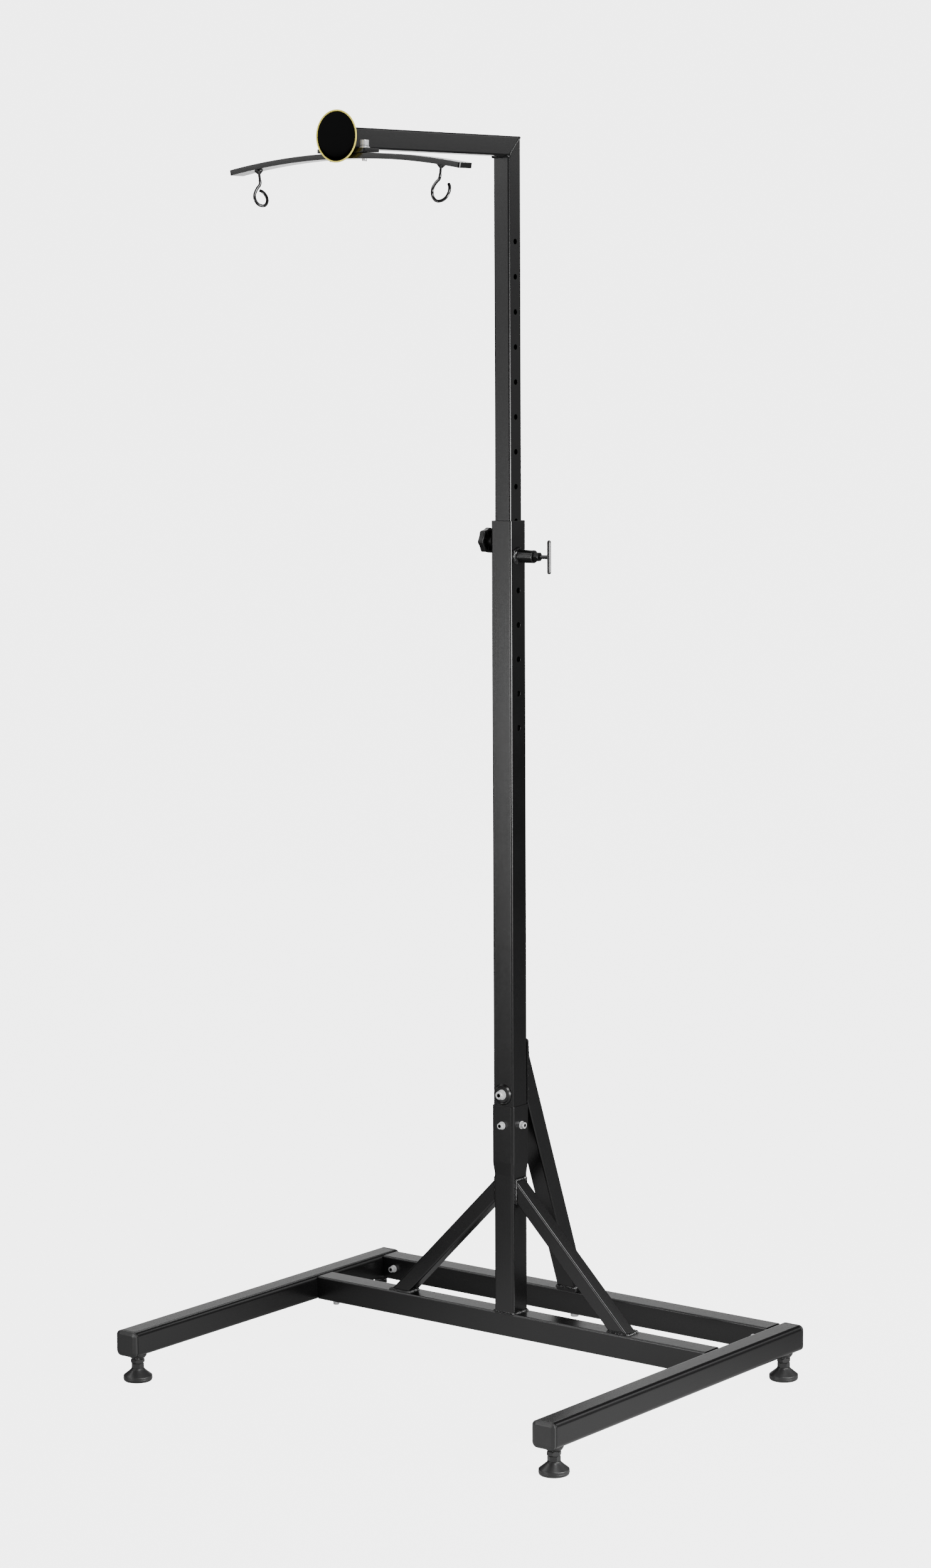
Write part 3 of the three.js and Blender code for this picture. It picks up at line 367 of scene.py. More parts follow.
nut_chamfer = 0.0011
nut_low = 0.0283
nut_turn = math.radians(24)
insert_profile = [(0.0112, 0.0370), (0.0118, 0.0371), (0.0138, 0.0402), (0.0140, 0.0406),
                  (0.0140, 0.0424), (0.0137, 0.0427), (0.0060, 0.0427)]
zinc = new_finish("zinc_steel", "bright zinc plate", (0.96, 0.96, 0.97), 0.22, 0.6, patch_size=260,
                  shade=0.04, polish=0.07)
# Painted shade: near-black zinc put inside the key sockets and under the screw heads, where shade
# falls.
socket_shade_zinc = new_finish("zinc_steel", "zinc painted dark as shade in key sockets", (0.02, 0.02, 0.02), 0.5, 0.4)


def turn_on_lathe(name, profile, sides=48, ring=False):
    """A round piece about Z from (radius, height) pairs. A ring's last pair is its first again."""
    radius, height = profile[0]
    piece = add(bpy.ops.mesh.primitive_circle_add, name, vertices=sides, radius=radius,
                fill_type="NOTHING" if ring else "NGON", location=(0, 0, height))
    bpy.ops.object.mode_set(mode="EDIT")
    bpy.ops.mesh.select_mode(type="VERT")
    bpy.ops.mesh.select_all(action="SELECT")
    for next_radius, next_height in profile[1:]:
        pull_out(next_height - height, next_radius / radius)
        radius, height = next_radius, next_height
    bpy.ops.mesh.select_all(action="SELECT")
    bpy.ops.mesh.remove_doubles(threshold=0.000001)
    end_edit(outward=True)
    return piece


def shape_with(piece, tool, operation="DIFFERENCE"):
    """Cuts the piece with a tool, or joins them, or keeps what both share, and clears the tool away."""
    apply_to(piece, "BOOLEAN", object=tool, operation=operation, solver="EXACT")
    bpy.data.objects.remove(tool)


def bore_out(piece, radius, low, high):
    """Bores a round hole about Z, a millimetre past both levels."""
    past = 0.001
    shape_with(piece, turn_on_lathe("bore", [(radius, low - past), (radius, high + past)], 40))


def hexagon(name, flats, low, high, chamfer=0.0):
    """A hexagonal prism about Z, its corners turned off at both ends where it has a chamfer."""
    corner = flats / math.sqrt(3)
    prism = add(bpy.ops.mesh.primitive_cylinder_add, name, vertices=6, radius=corner, depth=high - low,
                location=(0, 0, (low + high) / 2))
    if chamfer:
        rim = corner - 2 * (corner - flats / 2 + chamfer / 4)
        cone = turn_on_lathe("chamfer", [(rim, low - chamfer), (corner, low + chamfer),
                                         (corner, high - chamfer), (rim, high + chamfer)], 60)
        shape_with(prism, cone, "INTERSECT")
    return prism


def cut_thread(name, crest, root, pitch, low, high, sides=28):
    """A screw thread about Z: one tooth wound round and round, and closed at both ends."""
    thread = add(bpy.ops.mesh.primitive_plane_add, name, size=pitch)
    bpy.ops.object.mode_set(mode="EDIT")
    shape = bmesh.from_edit_mesh(thread.data)
    shape.clear()
    places = [(root, 0), (crest, pitch * 0.45), (crest, pitch * 0.55), (root, pitch)]
    corners = [shape.verts.new((radius, 0, height + low)) for radius, height in places]
    for a, b in zip(corners, corners[1:]):
        shape.edges.new((a, b))
    bmesh.update_edit_mesh(thread.data)
    end_edit()
    turns = max(1, round((high - low) / pitch) - 1)
    apply_to(thread, "SCREW", screw_offset=pitch, iterations=turns, steps=sides, render_steps=sides,
             use_merge_vertices=True, merge_threshold=merge_gap)
    edit_all()
    bpy.ops.mesh.remove_doubles(threshold=merge_gap)
    bpy.ops.mesh.fill_holes(sides=0)
    end_edit(outward=True)
    return thread


def copy_of(piece, name):
    """Another of the same piece, with its own mesh, still at the origin."""
    twin = piece.copy()
    twin.data = piece.data.copy()
    twin.name = name
    bpy.context.scene.collection.objects.link(twin)
    return twin


def join_pieces(pieces, name):
    """Makes one piece of several."""
    pieces[0].name = name
    if len(pieces) == 1:
        return pieces[0]
    only(pieces[0])
    for piece in pieces:
        piece.select_set(True)
    bpy.ops.object.join()
    return pieces[0]


foot = turn_on_lathe("foot", foot_profile, 72)
neck = hexagon("neck", neck_flats, neck_low, neck_high, neck_chamfer)
break_edges(neck)
foot = join_pieces([foot, neck], "foot")
stud = cut_thread("stud", stud_crest, stud_root, stud_pitch, stud_low, stud_high)
lock_nut = hexagon("lock_nut", nut_flats, 0, nut_height, nut_chamfer)
bore_out(lock_nut, stud_crest, 0, nut_height)
break_edges(lock_nut, fine_edge)
insert = turn_on_lathe("insert", insert_profile, 60)
for corner, x, way in ends:
    y = way * foot_y
    fit_piece(copy_of(foot, f"{corner}_moulded_foot"), f"{corner}_foot", black_plastic,
              [f"{corner}_levelling_foot"], (x, y, 0))
    fit_piece(copy_of(stud, f"{corner}_foot_stud"), f"{corner}_foot", zinc, (), (x, y, 0))
    fit_piece(copy_of(lock_nut, f"{corner}_foot_nut"), "stand", black_plastic,
              [f"{corner}_lock_nut"], (x, y, nut_low), (0, 0, nut_turn))
    fit_piece(copy_of(insert, f"{corner}_leg_insert"), "stand", black_plastic,
              [f"{corner}_foot_insert"], (x, y, 0))
for pattern in (foot, stud, lock_nut, insert):
    bpy.data.objects.remove(pattern)

# Front and rear crossbar: 38 mm square tube that slides over a stub on each leg. A socket screw with a
# flat and a spring washer holds each end, from below at the front and on its front face at the rear.
column_y = 0.131
rear_y = 0.301
bar_width = 0.038
bar_corner = 0.003
bar_length = 0.7594
bar_face = bar_width / 2
bar_low, bar_top = leg_level - bar_face, leg_level + bar_face
worn_edge = 0.0004
bar_coat = new_finish("powder_coat", "satin black powder coat on the crossbars", **coat,
                      drawn=(stretch, 1, 1))
for name, y in (("front", column_y), ("rear", rear_y)):
    bar = square_stock(f"{name}_cross_tube", bar_width, bar_corner, bar_length)
    break_edges(bar, worn_edge)
    fit_piece(bar, "stand", bar_coat, [f"{name}_crossbar"], (0, y, leg_level), along_x)

screw_x = 0.357
small = {"head": 0.0100, "height": 0.0060, "flats": 0.0052, "washer": 0.0125, "thick": 0.0012,
         "spring": 0.0100, "wire": 0.0016, "bore": 0.0062}
large = {"head": 0.0130, "height": 0.0080, "flats": 0.0060, "washer": 0.0160, "thick": 0.0016,
         "spring": 0.0130, "wire": 0.0020, "bore": 0.0082}
knurls = 40
key_share = 0.8
split_width = 0.0009
split_slant = math.radians(38)
neck_height = 0.0006
seat_gap = 0.0003


def flat_ring(name, bore, rim, low, high):
    """A ring of rectangular section about Z."""
    section = [(bore, low), (rim, low), (rim, high), (bore, high), (bore, low)]
    return turn_on_lathe(name, section, 48, ring=True)


def socket_screw(name, size, flat=True, spring=True, length=0.008):
    """A knurled cap screw with a hexagon socket, head up, on its washers. The seat is at Z = 0."""
    parts = []
    level = seat_gap
    bore = size["bore"] / 2
    if flat:
        washer = flat_ring("washer", bore, size["washer"] / 2, level, level + size["thick"])
        break_edges(washer, fine_edge)
        parts.append(washer)
        level += size["thick"]
    if spring:
        rim = size["spring"] / 2
        coil = flat_ring("spring", bore, rim, level, level + size["wire"])
        shape_with(coil, add(bpy.ops.mesh.primitive_cube_add, "split", size=1, location=(rim, 0, level),
                             scale=(rim, split_width, 0.02), rotation=(split_slant, 0, 0)))
        parts.append(coil)
        level += size["wire"]
    radius, top = size["head"] / 2, level + size["height"]
    neck = level + neck_height
    head = turn_on_lathe("head", [
        (radius * 0.88, level), (radius * 0.88, neck), (radius * 0.97, neck + 0.0001),
        (radius, neck + 0.0005), (radius, top - 0.0008), (radius * 0.95, top - 0.0002),
        (radius * 0.88, top)], knurls * 2)
    pick(lambda face: abs(face.normal.z) < 0.1 and int(
        math.degrees(math.atan2(face.normal.y, face.normal.x)) * knurls / 180 + 4 * knurls) % 2 == 0)
    bpy.ops.mesh.inset(thickness=radius * 0.012, depth=-radius * 0.03, use_individual=True)
    end_edit()
    shape_with(head, hexagon("key", size["flats"], top - size["height"] * key_share, top + 0.001))
    # Painted shade: marks the faces inside the key socket and under the head's neck for the near-black
    # zinc.
    shade_marks = head.data.attributes.new("painted_shade_faces", "BOOLEAN", "FACE")
    for facet, mark in zip(head.data.polygons, shade_marks.data):
        in_key = facet.center.xy.length < size["flats"] * 0.6 and facet.center.z < top - 0.0002
        mark.value = in_key or facet.center.z < neck
    parts.append(head)
    if length > 0.015:
        shank = cut_thread("shank", bore * 0.97, bore * 0.82, bore * 0.3, -length, level + 0.0005)
    else:
        shank = turn_on_lathe("shank", [(bore * 0.95, -length), (bore * 0.95, level + 0.0005)], 32)
    parts.append(shank)
    return join_pieces(parts, name)


small_screw = socket_screw("small_screw", small)
for side, hand in hands:
    x = hand * screw_x
    fit_piece(copy_of(small_screw, f"front_bar_{side}_cap_screw"), "stand", zinc,
              [f"front_crossbar_{side}_screw"], (x, column_y, bar_low), (math.pi, 0, 0))
    fit_piece(copy_of(small_screw, f"rear_bar_{side}_cap_screw"), "stand", zinc,
              [f"rear_crossbar_{side}_screw"], (x, rear_y - bar_face, leg_level), along_y)
bpy.data.objects.remove(small_screw)

# Base post: the same 38 mm tube, welded upright on the front crossbar and drawn out at its top into a
# socket for the column. Two socket screws on flat washers clamp the column in it.
swage_low, swage_high = 0.302, 0.324
socket_width = 0.042
socket_top = 0.4125
socket_bore = 0.0386
socket_level = 0.382
post_corner = 0.0045
post_foot = bar_top + seat_gap
post_length = swage_low - post_foot
post = square_stock("welded_base_post", bar_width, post_corner, post_length)
pick(lambda face: face.normal.z > 0.9)
growth = socket_width / bar_width
grown = 1
for width, rise in ((1 + (growth - 1) * 0.12, 0.004), (growth * 0.996, 0.014), (growth, 0.004),
                    (growth, socket_top - swage_high)):
    pull_out(rise, width / grown)
    grown = width
bpy.ops.mesh.inset(thickness=(socket_width - socket_bore) / 2)
pull_out(swage_high - socket_top)
end_edit()
break_edges(post, worn_edge)
column_coat = new_finish("powder_coat", "satin black powder coat on the column", **coat,
                         drawn=(1, 1, stretch))
fit_piece(post, "stand", column_coat, ["base_post"], (0, column_y, post_foot + post_length / 2))
socket_face = socket_width / 2
seat_screw = socket_screw("seat_screw", small, spring=False)
fit_piece(copy_of(seat_screw, "front_socket_cap_screw"), "stand", zinc, ["front_socket_screw"],
          (0, column_y - socket_face, socket_level), along_y)
fit_piece(seat_screw, "stand", zinc, ["side_socket_screw"], (socket_face, column_y, socket_level),
          along_x)
seat_screw.name = "side_socket_cap_screw"


def roughen(weld, lumps, lump_size=0.0042):
    """Gives a weld the uneven lumps of metal that ran and set."""
    unevenness = bpy.data.textures.get("weld lumps") or bpy.data.textures.new("weld lumps", "CLOUDS")
    unevenness.noise_scale = lump_size
    apply_to(weld, "DISPLACE", texture=unevenness, strength=lumps, texture_coords="LOCAL")


def lay_weld(name, seams, body, radius=0.0028, pitch=0.0016, lumps=0.0018, flatness=0.62):
    """A weld: overlapping ripples of melted steel along each seam, given by its two ends."""
    rows = []
    for start, end in seams:
        run = Vector(end) - Vector(start)
        count = max(2, round(run.length / pitch) + 1)
        row = add(bpy.ops.mesh.primitive_uv_sphere_add, name, segments=14, ring_count=8, radius=radius)
        bpy.ops.object.mode_set(mode="EDIT")
        bpy.ops.transform.resize(value=(flatness, 1, 1))
        end_edit()
        apply_to(row, "ARRAY", use_relative_offset=False, use_constant_offset=True, count=count,
                 constant_offset_displace=(run.length / (count - 1), 0, 0))
        put(row, start, Vector((1, 0, 0)).rotation_difference(run).to_euler())
        rows.append(row)
    weld = join_pieces(rows, name)
    roughen(weld, lumps)
    fit_piece(weld, body, powder_coat)


def seams_around(left, right, front, back, level):
    """The four seams round a rectangle that stands on a level face."""
    return [((left, front, level), (right, front, level)), ((left, back, level), (right, back, level)),
            ((right, front, level), (right, back, level)), ((left, front, level), (left, back, level))]


edge = 0.0165
near, far = column_y - edge, column_y + edge
lay_weld("post_foot_weld", [
    ((-edge, near - 0.001, bar_top), (edge, near - 0.001, bar_top)),
    ((-edge, far + 0.001, bar_top), (edge, far + 0.001, bar_top)),
    ((bar_face, near, bar_top), (bar_face, far, bar_top)),
    ((-bar_face, near, bar_top), (-bar_face, far, bar_top)),
], "stand", radius=0.0030)

# Side braces: 25 mm tube at 45 degrees, cut flat against the post and the crossbar and welded all
# round at both ends.
brace_width = 0.025
brace_reach = 0.2145
brace_rise = brace_reach - bar_face


def saw_off(piece, point, normal):
    """Saws the piece through a point and throws away what lies on the normal's side."""
    only(piece)
    edit_all()
    bpy.ops.mesh.bisect(plane_co=point, plane_no=normal, use_fill=True, clear_outer=True)
    end_edit()


half = brace_width / 2
slant = half * math.sqrt(2)
near, far = column_y - half, column_y + half
top_high, top_low = bar_top + brace_rise + slant, bar_top + brace_rise - slant
for side, hand in hands:
    brace = square_stock(f"{side}_brace_tube", brace_width, bar_corner, brace_rise * 2)
    put(brace, (hand * (brace_reach + bar_face) / 2, column_y, bar_top + brace_rise / 2),
        (0, -hand * math.pi / 4, 0))
    saw_off(brace, (hand * (bar_face + seat_gap), column_y, 0), (-hand, 0, 0))
    saw_off(brace, (0, column_y, bar_top + seat_gap), (0, 0, -1))
    fit_piece(brace, "stand", powder_coat, [f"{side}_side_brace"])
    foot_in, foot_out = hand * (brace_reach - slant), hand * (brace_reach + slant)
    wall = hand * bar_face
    lay_weld(f"{side}_brace_weld", seams_around(foot_in, foot_out, near, far, bar_top) + [
        ((wall, near, top_low), (wall, near, top_high)),
        ((wall, far, top_low), (wall, far, top_high)),
        ((wall, near, top_high), (wall, far, top_high)),
        ((wall, near, top_low), (wall, far, top_low)),
    ], "stand", radius=0.0034, pitch=0.0009, lumps=0.0016)

# Rear brace: 32 mm tube that leans from the rear crossbar to the back of the column. It is welded to a
# plate at each end: the lower one is bolted through the crossbar, the upper one by the column bolt.
rear_width = 0.032
rear_reach = 0.1612
rear_stock = 0.62
rear_top_z = 0.460
foot_plate_thick = 0.006
top_plate_thick = 0.004
plate_corner = 0.0045
foot_plate_y = column_y + 0.1665
foot_plate_size = (0.039, 0.043)
top_plate_size = (0.038, 0.101)
top_plate_z = 0.4645
rear_foot_y = column_y + rear_reach
column_back = column_y + bar_face
rear_low = bar_top + foot_plate_thick + 2 * seat_gap
rear_near = column_back + top_plate_thick + 2 * seat_gap
rear_lean = math.atan2(rear_reach - bar_face - top_plate_thick,
                       rear_top_z - bar_top - foot_plate_thick)


def flat_plate(name, width, height, corner, thick):
    """A flat plate on Z = 0 with rounded corners and broken edges."""
    plate = add(bpy.ops.mesh.primitive_cube_add, name, size=1, location=(0, 0, thick / 2),
                scale=(width, height, thick))
    pick(lambda edge: abs(edge.verts[0].co.z - edge.verts[1].co.z) > thick / 2, "EDGE")
    bpy.ops.mesh.bevel(offset=corner, segments=6, affect="EDGES")
    end_edit()
    break_edges(plate, soft_edge)
    return plate


brace = square_stock("rear_brace_tube", rear_width, bar_corner, rear_stock)
put(brace, (0, (rear_foot_y + rear_near) / 2, (rear_top_z + rear_low) / 2), (rear_lean, 0, 0))
saw_off(brace, (0, 0, rear_low), (0, 0, -1))
saw_off(brace, (0, rear_near, 0), (0, -1, 0))
fit_piece(brace, "stand", powder_coat, ["rear_brace"])
plate = flat_plate("rear_brace_foot_flange", *foot_plate_size, plate_corner, foot_plate_thick)
fit_piece(plate, "stand", powder_coat, ["rear_brace_foot_plate"], (0, foot_plate_y, bar_top + seat_gap))
plate = flat_plate("rear_brace_top_flange", *top_plate_size, plate_corner, top_plate_thick)
fit_piece(plate, "stand", powder_coat, ["rear_brace_top_plate"],
          (0, column_back + seat_gap + top_plate_thick, top_plate_z), along_y)
half = rear_width / 2
run = half / math.cos(rear_lean)
climb = half / math.sin(rear_lean)
near, far = rear_foot_y - run, rear_foot_y + run
top_low, top_high = rear_top_z - climb + 0.004, rear_top_z + climb - 0.004
lay_weld("rear_brace_weld", seams_around(-half, half, near, far, rear_low) + [
    ((half, rear_near, top_low), (half, rear_near, top_high)),
    ((-half, rear_near, top_low), (-half, rear_near, top_high)),
    ((-half, rear_near, rear_top_z + climb), (half, rear_near, rear_top_z + climb)),
], "stand")
large_screw = socket_screw("rear_brace_foot_cap_screw", large, flat=False, spring=False)
fit_piece(large_screw, "stand", zinc, ["rear_brace_foot_bolt"], (0, rear_y, bar_low), (math.pi, 0, 0))

# Lower column: 38 mm tube standing in the socket, with five spare holes down its right side below the
# plunger. A plastic sleeve in its mouth guides the upper column.
lower_low, lower_top = 0.3243, 1.324
plunger_level = 1.270
hole_pitch = 0.053
spare_hole = 0.009
tube_wall = 0.002


def hollow_out(tube, face, depth, wall):
    """Bores a square tube from one end, leaving its wall."""
    only(tube)
    pick(lambda side: side.normal.z * face > 0.9)
    bpy.ops.mesh.inset(thickness=wall)
    pull_out(-face * depth)
    end_edit()


def drill_row(tube, diameter, levels, middle):
    """Drills the right wall of an upright tube, centred at its middle, at each level."""
    bits = [add(bpy.ops.mesh.primitive_cylinder_add, "bit", vertices=36, radius=diameter / 2,
                depth=0.02, location=(0.018, 0, level - middle), rotation=along_x) for level in levels]
    shape_with(tube, join_pieces(bits, "bits"))


length = lower_top - lower_low
middle = (lower_top + lower_low) / 2
column = square_stock("lower_column_tube", bar_width, bar_corner, length)
hollow_out(column, 1, length - 0.01, tube_wall)
drill_row(column, spare_hole, [plunger_level - step * hole_pitch for step in range(1, 6)], middle)
break_edges(column, worn_edge)
fit_piece(column, "stand", column_coat, ["lower_column"], (0, column_y, middle))

# Column bolt: a large socket screw on a dished black plastic washer, through the column and the rear
# brace's upper plate into a nut that is hidden in the brace.
column_front = column_y - bar_face
bolt_level = 0.431
dish_floor = 0.0017
nylon = new_finish("black_plastic", "glossy black nylon", (0.004, 0.004, 0.0041), 0.3, grain_size=1400)
washer = turn_on_lathe("dished_washer", [
    (0.0045, 0.0003), (0.0162, 0.0003), (0.0165, 0.0006), (0.0165, 0.0012), (0.0162, 0.0016),
    (0.0148, 0.0037), (0.0144, 0.0040), (0.0139, 0.0040), (0.0135, 0.0037), (0.0120, 0.0018),
    (0.0045, 0.0016), (0.0045, 0.0003)], 72, ring=True)
fit_piece(washer, "stand", nylon, ["column_bolt_washer"], (0, column_front, bolt_level), along_y)
column_screw = socket_screw("column_cap_screw", large, spring=False)
fit_piece(column_screw, "stand", zinc, ["column_bolt"], (0, column_front - dish_floor, bolt_level),
          along_y)

# Upper column and arm: 30 mm tube, mitred and welded at the corner. The column has thirteen holes down
# its right side for the plunger; the weld at the corner is ground nearly flat.
upper_low = 0.964
arm_level = 1.890
arm_front = -0.269
inner_width = 0.030
inner_corner = 0.003
pin_hole = 0.0086
mast_half = inner_width / 2
mitre_flat = 0.0028
stock_spare = 0.01
gap = seat_gap / 2
length = arm_level + mast_half + stock_spare - upper_low
middle = upper_low + length / 2
column = square_stock("upper_column_tube", inner_width, inner_corner, length)
hollow_out(column, -1, length - 0.03, tube_wall)
drill_row(column, pin_hole, [plunger_level + step * hole_pitch for step in range(-3, 10)], middle)
break_edges(column, worn_edge)
put(column, (0, column_y, middle))
saw_off(column, (0, column_y, arm_level - gap), (0, -1, 1))
saw_off(column, (0, column_y + mast_half - mitre_flat, arm_level + mast_half), (0, 1, 1))
fit_piece(column, "mast", column_coat, ["upper_column"])
arm_length = column_y + mast_half + stock_spare - arm_front
arm = square_stock("arm_tube", inner_width, inner_corner, arm_length)
break_edges(arm, worn_edge)
put(arm, (0, arm_front + arm_length / 2, arm_level), along_y)
saw_off(arm, (0, column_y, arm_level + gap), (0, 1, -1))
saw_off(arm, (0, column_y + mast_half - mitre_flat, arm_level + mast_half), (0, 1, 1))
fit_piece(arm, "mast", powder_coat, ["arm"])
face = mast_half - 0.0006
short = 0.002
corner_low = (column_y - mast_half, arm_level - mast_half)
corner_high = (column_y + mast_half - short, arm_level + mast_half - short)
lay_weld("mitre_weld", [
    ((face, *corner_low), (face, *corner_high)),
    ((-face, *corner_low), (-face, *corner_high)),
    ((-face + short, *corner_high), (face - short, *corner_high)),
], "mast", radius=0.0019, pitch=0.0011, lumps=0.0008)
lay_weld("arm_corner_weld", [((-mast_half, *corner_low), (mast_half, *corner_low))],
         "mast", radius=0.0032, pitch=0.0017)

# Badge: a round disc on the arm's front end, with a pale gold rim round a domed face of gloss black
# lacquer. A plastic plug closes the arm behind it.
badge_y = -0.2711
badge_level = 1.892
pale_gold = new_finish("pale_gold", "pale gold plate", (1.0, 0.85, 0.12), 0.22, 0.15, grain_size=1400,
                       grain_depth=0.000006, patch_size=90, shade=0.08, polish=0.05)
lacquer = new_finish("black_lacquer", "gloss black lacquer", (0.0004, 0.0004, 0.0004), 0.08,
                     grain_size=160, grain_depth=0.000002, patch_size=60, polish=0.02, specular=0.03)
rim = turn_on_lathe("badge_gold_rim", [
    (0.0300, 0), (0.0342, 0), (0.0344, 0.0002), (0.0344, 0.0022), (0.0346, 0.0025), (0.0371, 0.0026),
    (0.0374, 0.0028), (0.0375, 0.0032), (0.0374, 0.0037), (0.0371, 0.0040), (0.0356, 0.0040),
    (0.0354, 0.0039), (0.0353, 0.0036), (0.0353, 0.0028), (0.0330, 0.0016), (0.0300, 0.0014),
    (0.0300, 0)], 128, ring=True)
disc = turn_on_lathe("badge_black_face", [
    (0.0325, 0.0018), (0.0350, 0.0031), (0.0350, 0.0032), (0.0347, 0.0034), (0.0335, 0.0035),
    (0.0290, 0.0036), (0.0200, 0.0037), (0.0100, 0.00378), (0.0020, 0.0038)], 128)
fit_piece(rim, "mast", pale_gold, ["badge_rim"], (0, badge_y, badge_level), along_y)
fit_piece(disc, "mast", lacquer, ["badge_face"], (0, badge_y, badge_level), along_y)

# Mount plate, cut from flat steel and welded under the arm, and the arched hanger bar, 8 mm flat steel
# bent to a wide curve. Two socket screws hold the bar to the plate.
hang_y = -0.248
plate_size = (0.088, 0.035)
plate_thick = 0.006
plate_low = arm_level - mast_half - seat_gap - plate_thick
plate_top = plate_low + plate_thick
weld_front, weld_back = hang_y - 0.013, hang_y + 0.013
bolt_x = 0.030
bolt_length = 0.0186
arch_radius = 1.200
arch_thick = 0.008
arch_depth = 0.030
arch_half_span = 0.214
arch_corner = 0.0028
arch_centre = 0.6604
arch_angle = math.asin(arch_half_span / (arch_radius + arch_thick))
middle_radius = arch_radius + arch_thick / 2
hook_inset = 0.044
hook_lean = math.asin((arch_half_span - hook_inset) / middle_radius)
hook_hole = 0.0046
plate = flat_plate("arm_mount_plate", *plate_size, 0.002, plate_thick)
fit_piece(plate, "mast", powder_coat, ["mount_plate"], (0, hang_y, plate_low))
lay_weld("mount_plate_weld", [
    ((hand * mast_half, weld_front, plate_top), (hand * mast_half, weld_back, plate_top))
    for side, hand in hands
], "mast", radius=0.0017, pitch=0.0011, lumps=0.0008)


def on_arch(angle, radius=middle_radius):
    """The X and Z of a point on the arched bar, its arc's centre at the origin."""
    return radius * math.sin(angle), radius * math.cos(angle)


def at_end(edge):
    """True for the four upright edges at the corners of the bar's two ends."""
    a, b = (corner.co for corner in edge.verts)
    return (all(abs(abs(c.x) - arch_half_span) < 0.002 and abs(abs(c.y) - arch_depth / 2) < 0.0001
                for c in (a, b))
            and abs(a.y - b.y) < 0.0001 and abs(a.z - b.z) > arch_thick / 2)


x, z = on_arch(-arch_angle)
arch = add(bpy.ops.mesh.primitive_plane_add, "arched_hanger_bar", size=1)
arch.scale = (arch_thick, arch_depth, 1)
put(arch, (x, 0, z), (0, -arch_angle - math.pi / 2, 0))
edit_all()
bpy.ops.mesh.delete(type="ONLY_FACE")
bpy.ops.mesh.select_all(action="SELECT")
bpy.ops.mesh.spin(steps=64, angle=-2 * arch_angle, center=(0, 0, 0), axis=(0, 1, 0))
bpy.ops.mesh.select_all(action="SELECT")
bpy.ops.mesh.fill_holes(sides=4)
end_edit(outward=True)
bits = []
for side, hand in hands:
    x, z = on_arch(hand * hook_lean)
    bits.append(add(bpy.ops.mesh.primitive_cylinder_add, "bit", vertices=32, radius=hook_hole / 2,
                    depth=0.03, location=(x, 0, z), rotation=(0, hand * hook_lean, 0)))
shape_with(arch, join_pieces(bits, "bits"))
only(arch)
pick(at_end, "EDGE")
bpy.ops.mesh.bevel(offset=arch_corner, segments=6, affect="EDGES")
end_edit()
break_edges(arch, soft_edge)
fit_piece(arch, "mast", powder_coat, ["hanger_bar"], (0, hang_y, arch_centre))
large_screw = socket_screw("large_screw", large, length=bolt_length)
for side, hand in hands:
    fit_piece(copy_of(large_screw, f"mount_plate_{side}_cap_screw"), "mast", zinc,
              [f"mount_plate_{side}_screw"], (hand * bolt_x, hang_y, plate_top))
bpy.data.objects.remove(large_screw)

# Left and right screw hook: black lacquered steel wire bent to an eye that is opened sideways. The
# shank is threaded through the arched bar, and a flanged nut locks it from below.
hook_wire = 0.0045
hook_start = 1.1818
loop_half_width, loop_half_height, loop_drop = 0.0118, 0.0130, 0.0207
loop_opening = 0.015
loop_first, loop_last = 60, 337
hook_turns = {"left": 66.1, "right": -3.9}
shank_crest, shank_root, shank_pitch = 0.0020, 0.0016, 0.0008
shank_low, shank_high = 0.0036, 0.0262
hook_nut_low = 1.1948
hook_nut_profile = [
    (0.0021, 0), (0.0029, 0), (0.0032, 0.0003), (0.0034, 0.0008), (0.0046, 0.0021), (0.0061, 0.0036),
    (0.0064, 0.0040), (0.0065, 0.0044), (0.0063, 0.0048), (0.0059, 0.0049), (0.0021, 0.0049),
    (0.0021, 0)]
blackened = new_finish("blackened_steel", "black lacquered steel", (0.006, 0.006, 0.0062), 0.15,
                       grain_size=500, grain_depth=0.000008, patch_size=120, polish=0.04, specular=1.0)
path = [(0, 0, 0.0040), (0, 0, 0.0010), (-0.001416, 0, -0.003312), (-0.004956, 0, -0.006831)]
stations = 20
for step in range(stations + 1):
    degrees = loop_first + (loop_last - loop_first) * step / stations
    aside = max(0, (degrees - 180) / (loop_last - 180)) * loop_opening
    path.append((-loop_half_width * math.sin(math.radians(degrees)), aside,
                 loop_half_height * math.cos(math.radians(degrees)) - loop_drop))
bpy.ops.object.select_all(action="DESELECT")
bpy.ops.curve.primitive_bezier_curve_add()
hook = bpy.context.object
bend = hook.data.splines[0]
bend.bezier_points.add(len(path) - 2)
for knot, place in zip(bend.bezier_points, path):
    knot.handle_left_type = knot.handle_right_type = "AUTO"
    knot.co = place
hook.data.resolution_u = 6
hook.data.bevel_depth = hook_wire / 2
hook.data.bevel_resolution = 8
hook.data.use_fill_caps = True
bpy.ops.object.convert(target="MESH")
hook = bpy.context.object


def pick_end(point):
    """Selects the round face that closes the wire at a point."""
    pick(lambda face: len(face.verts) > 6
         and (face.calc_center_median() - Vector(point)).length < 0.0005)


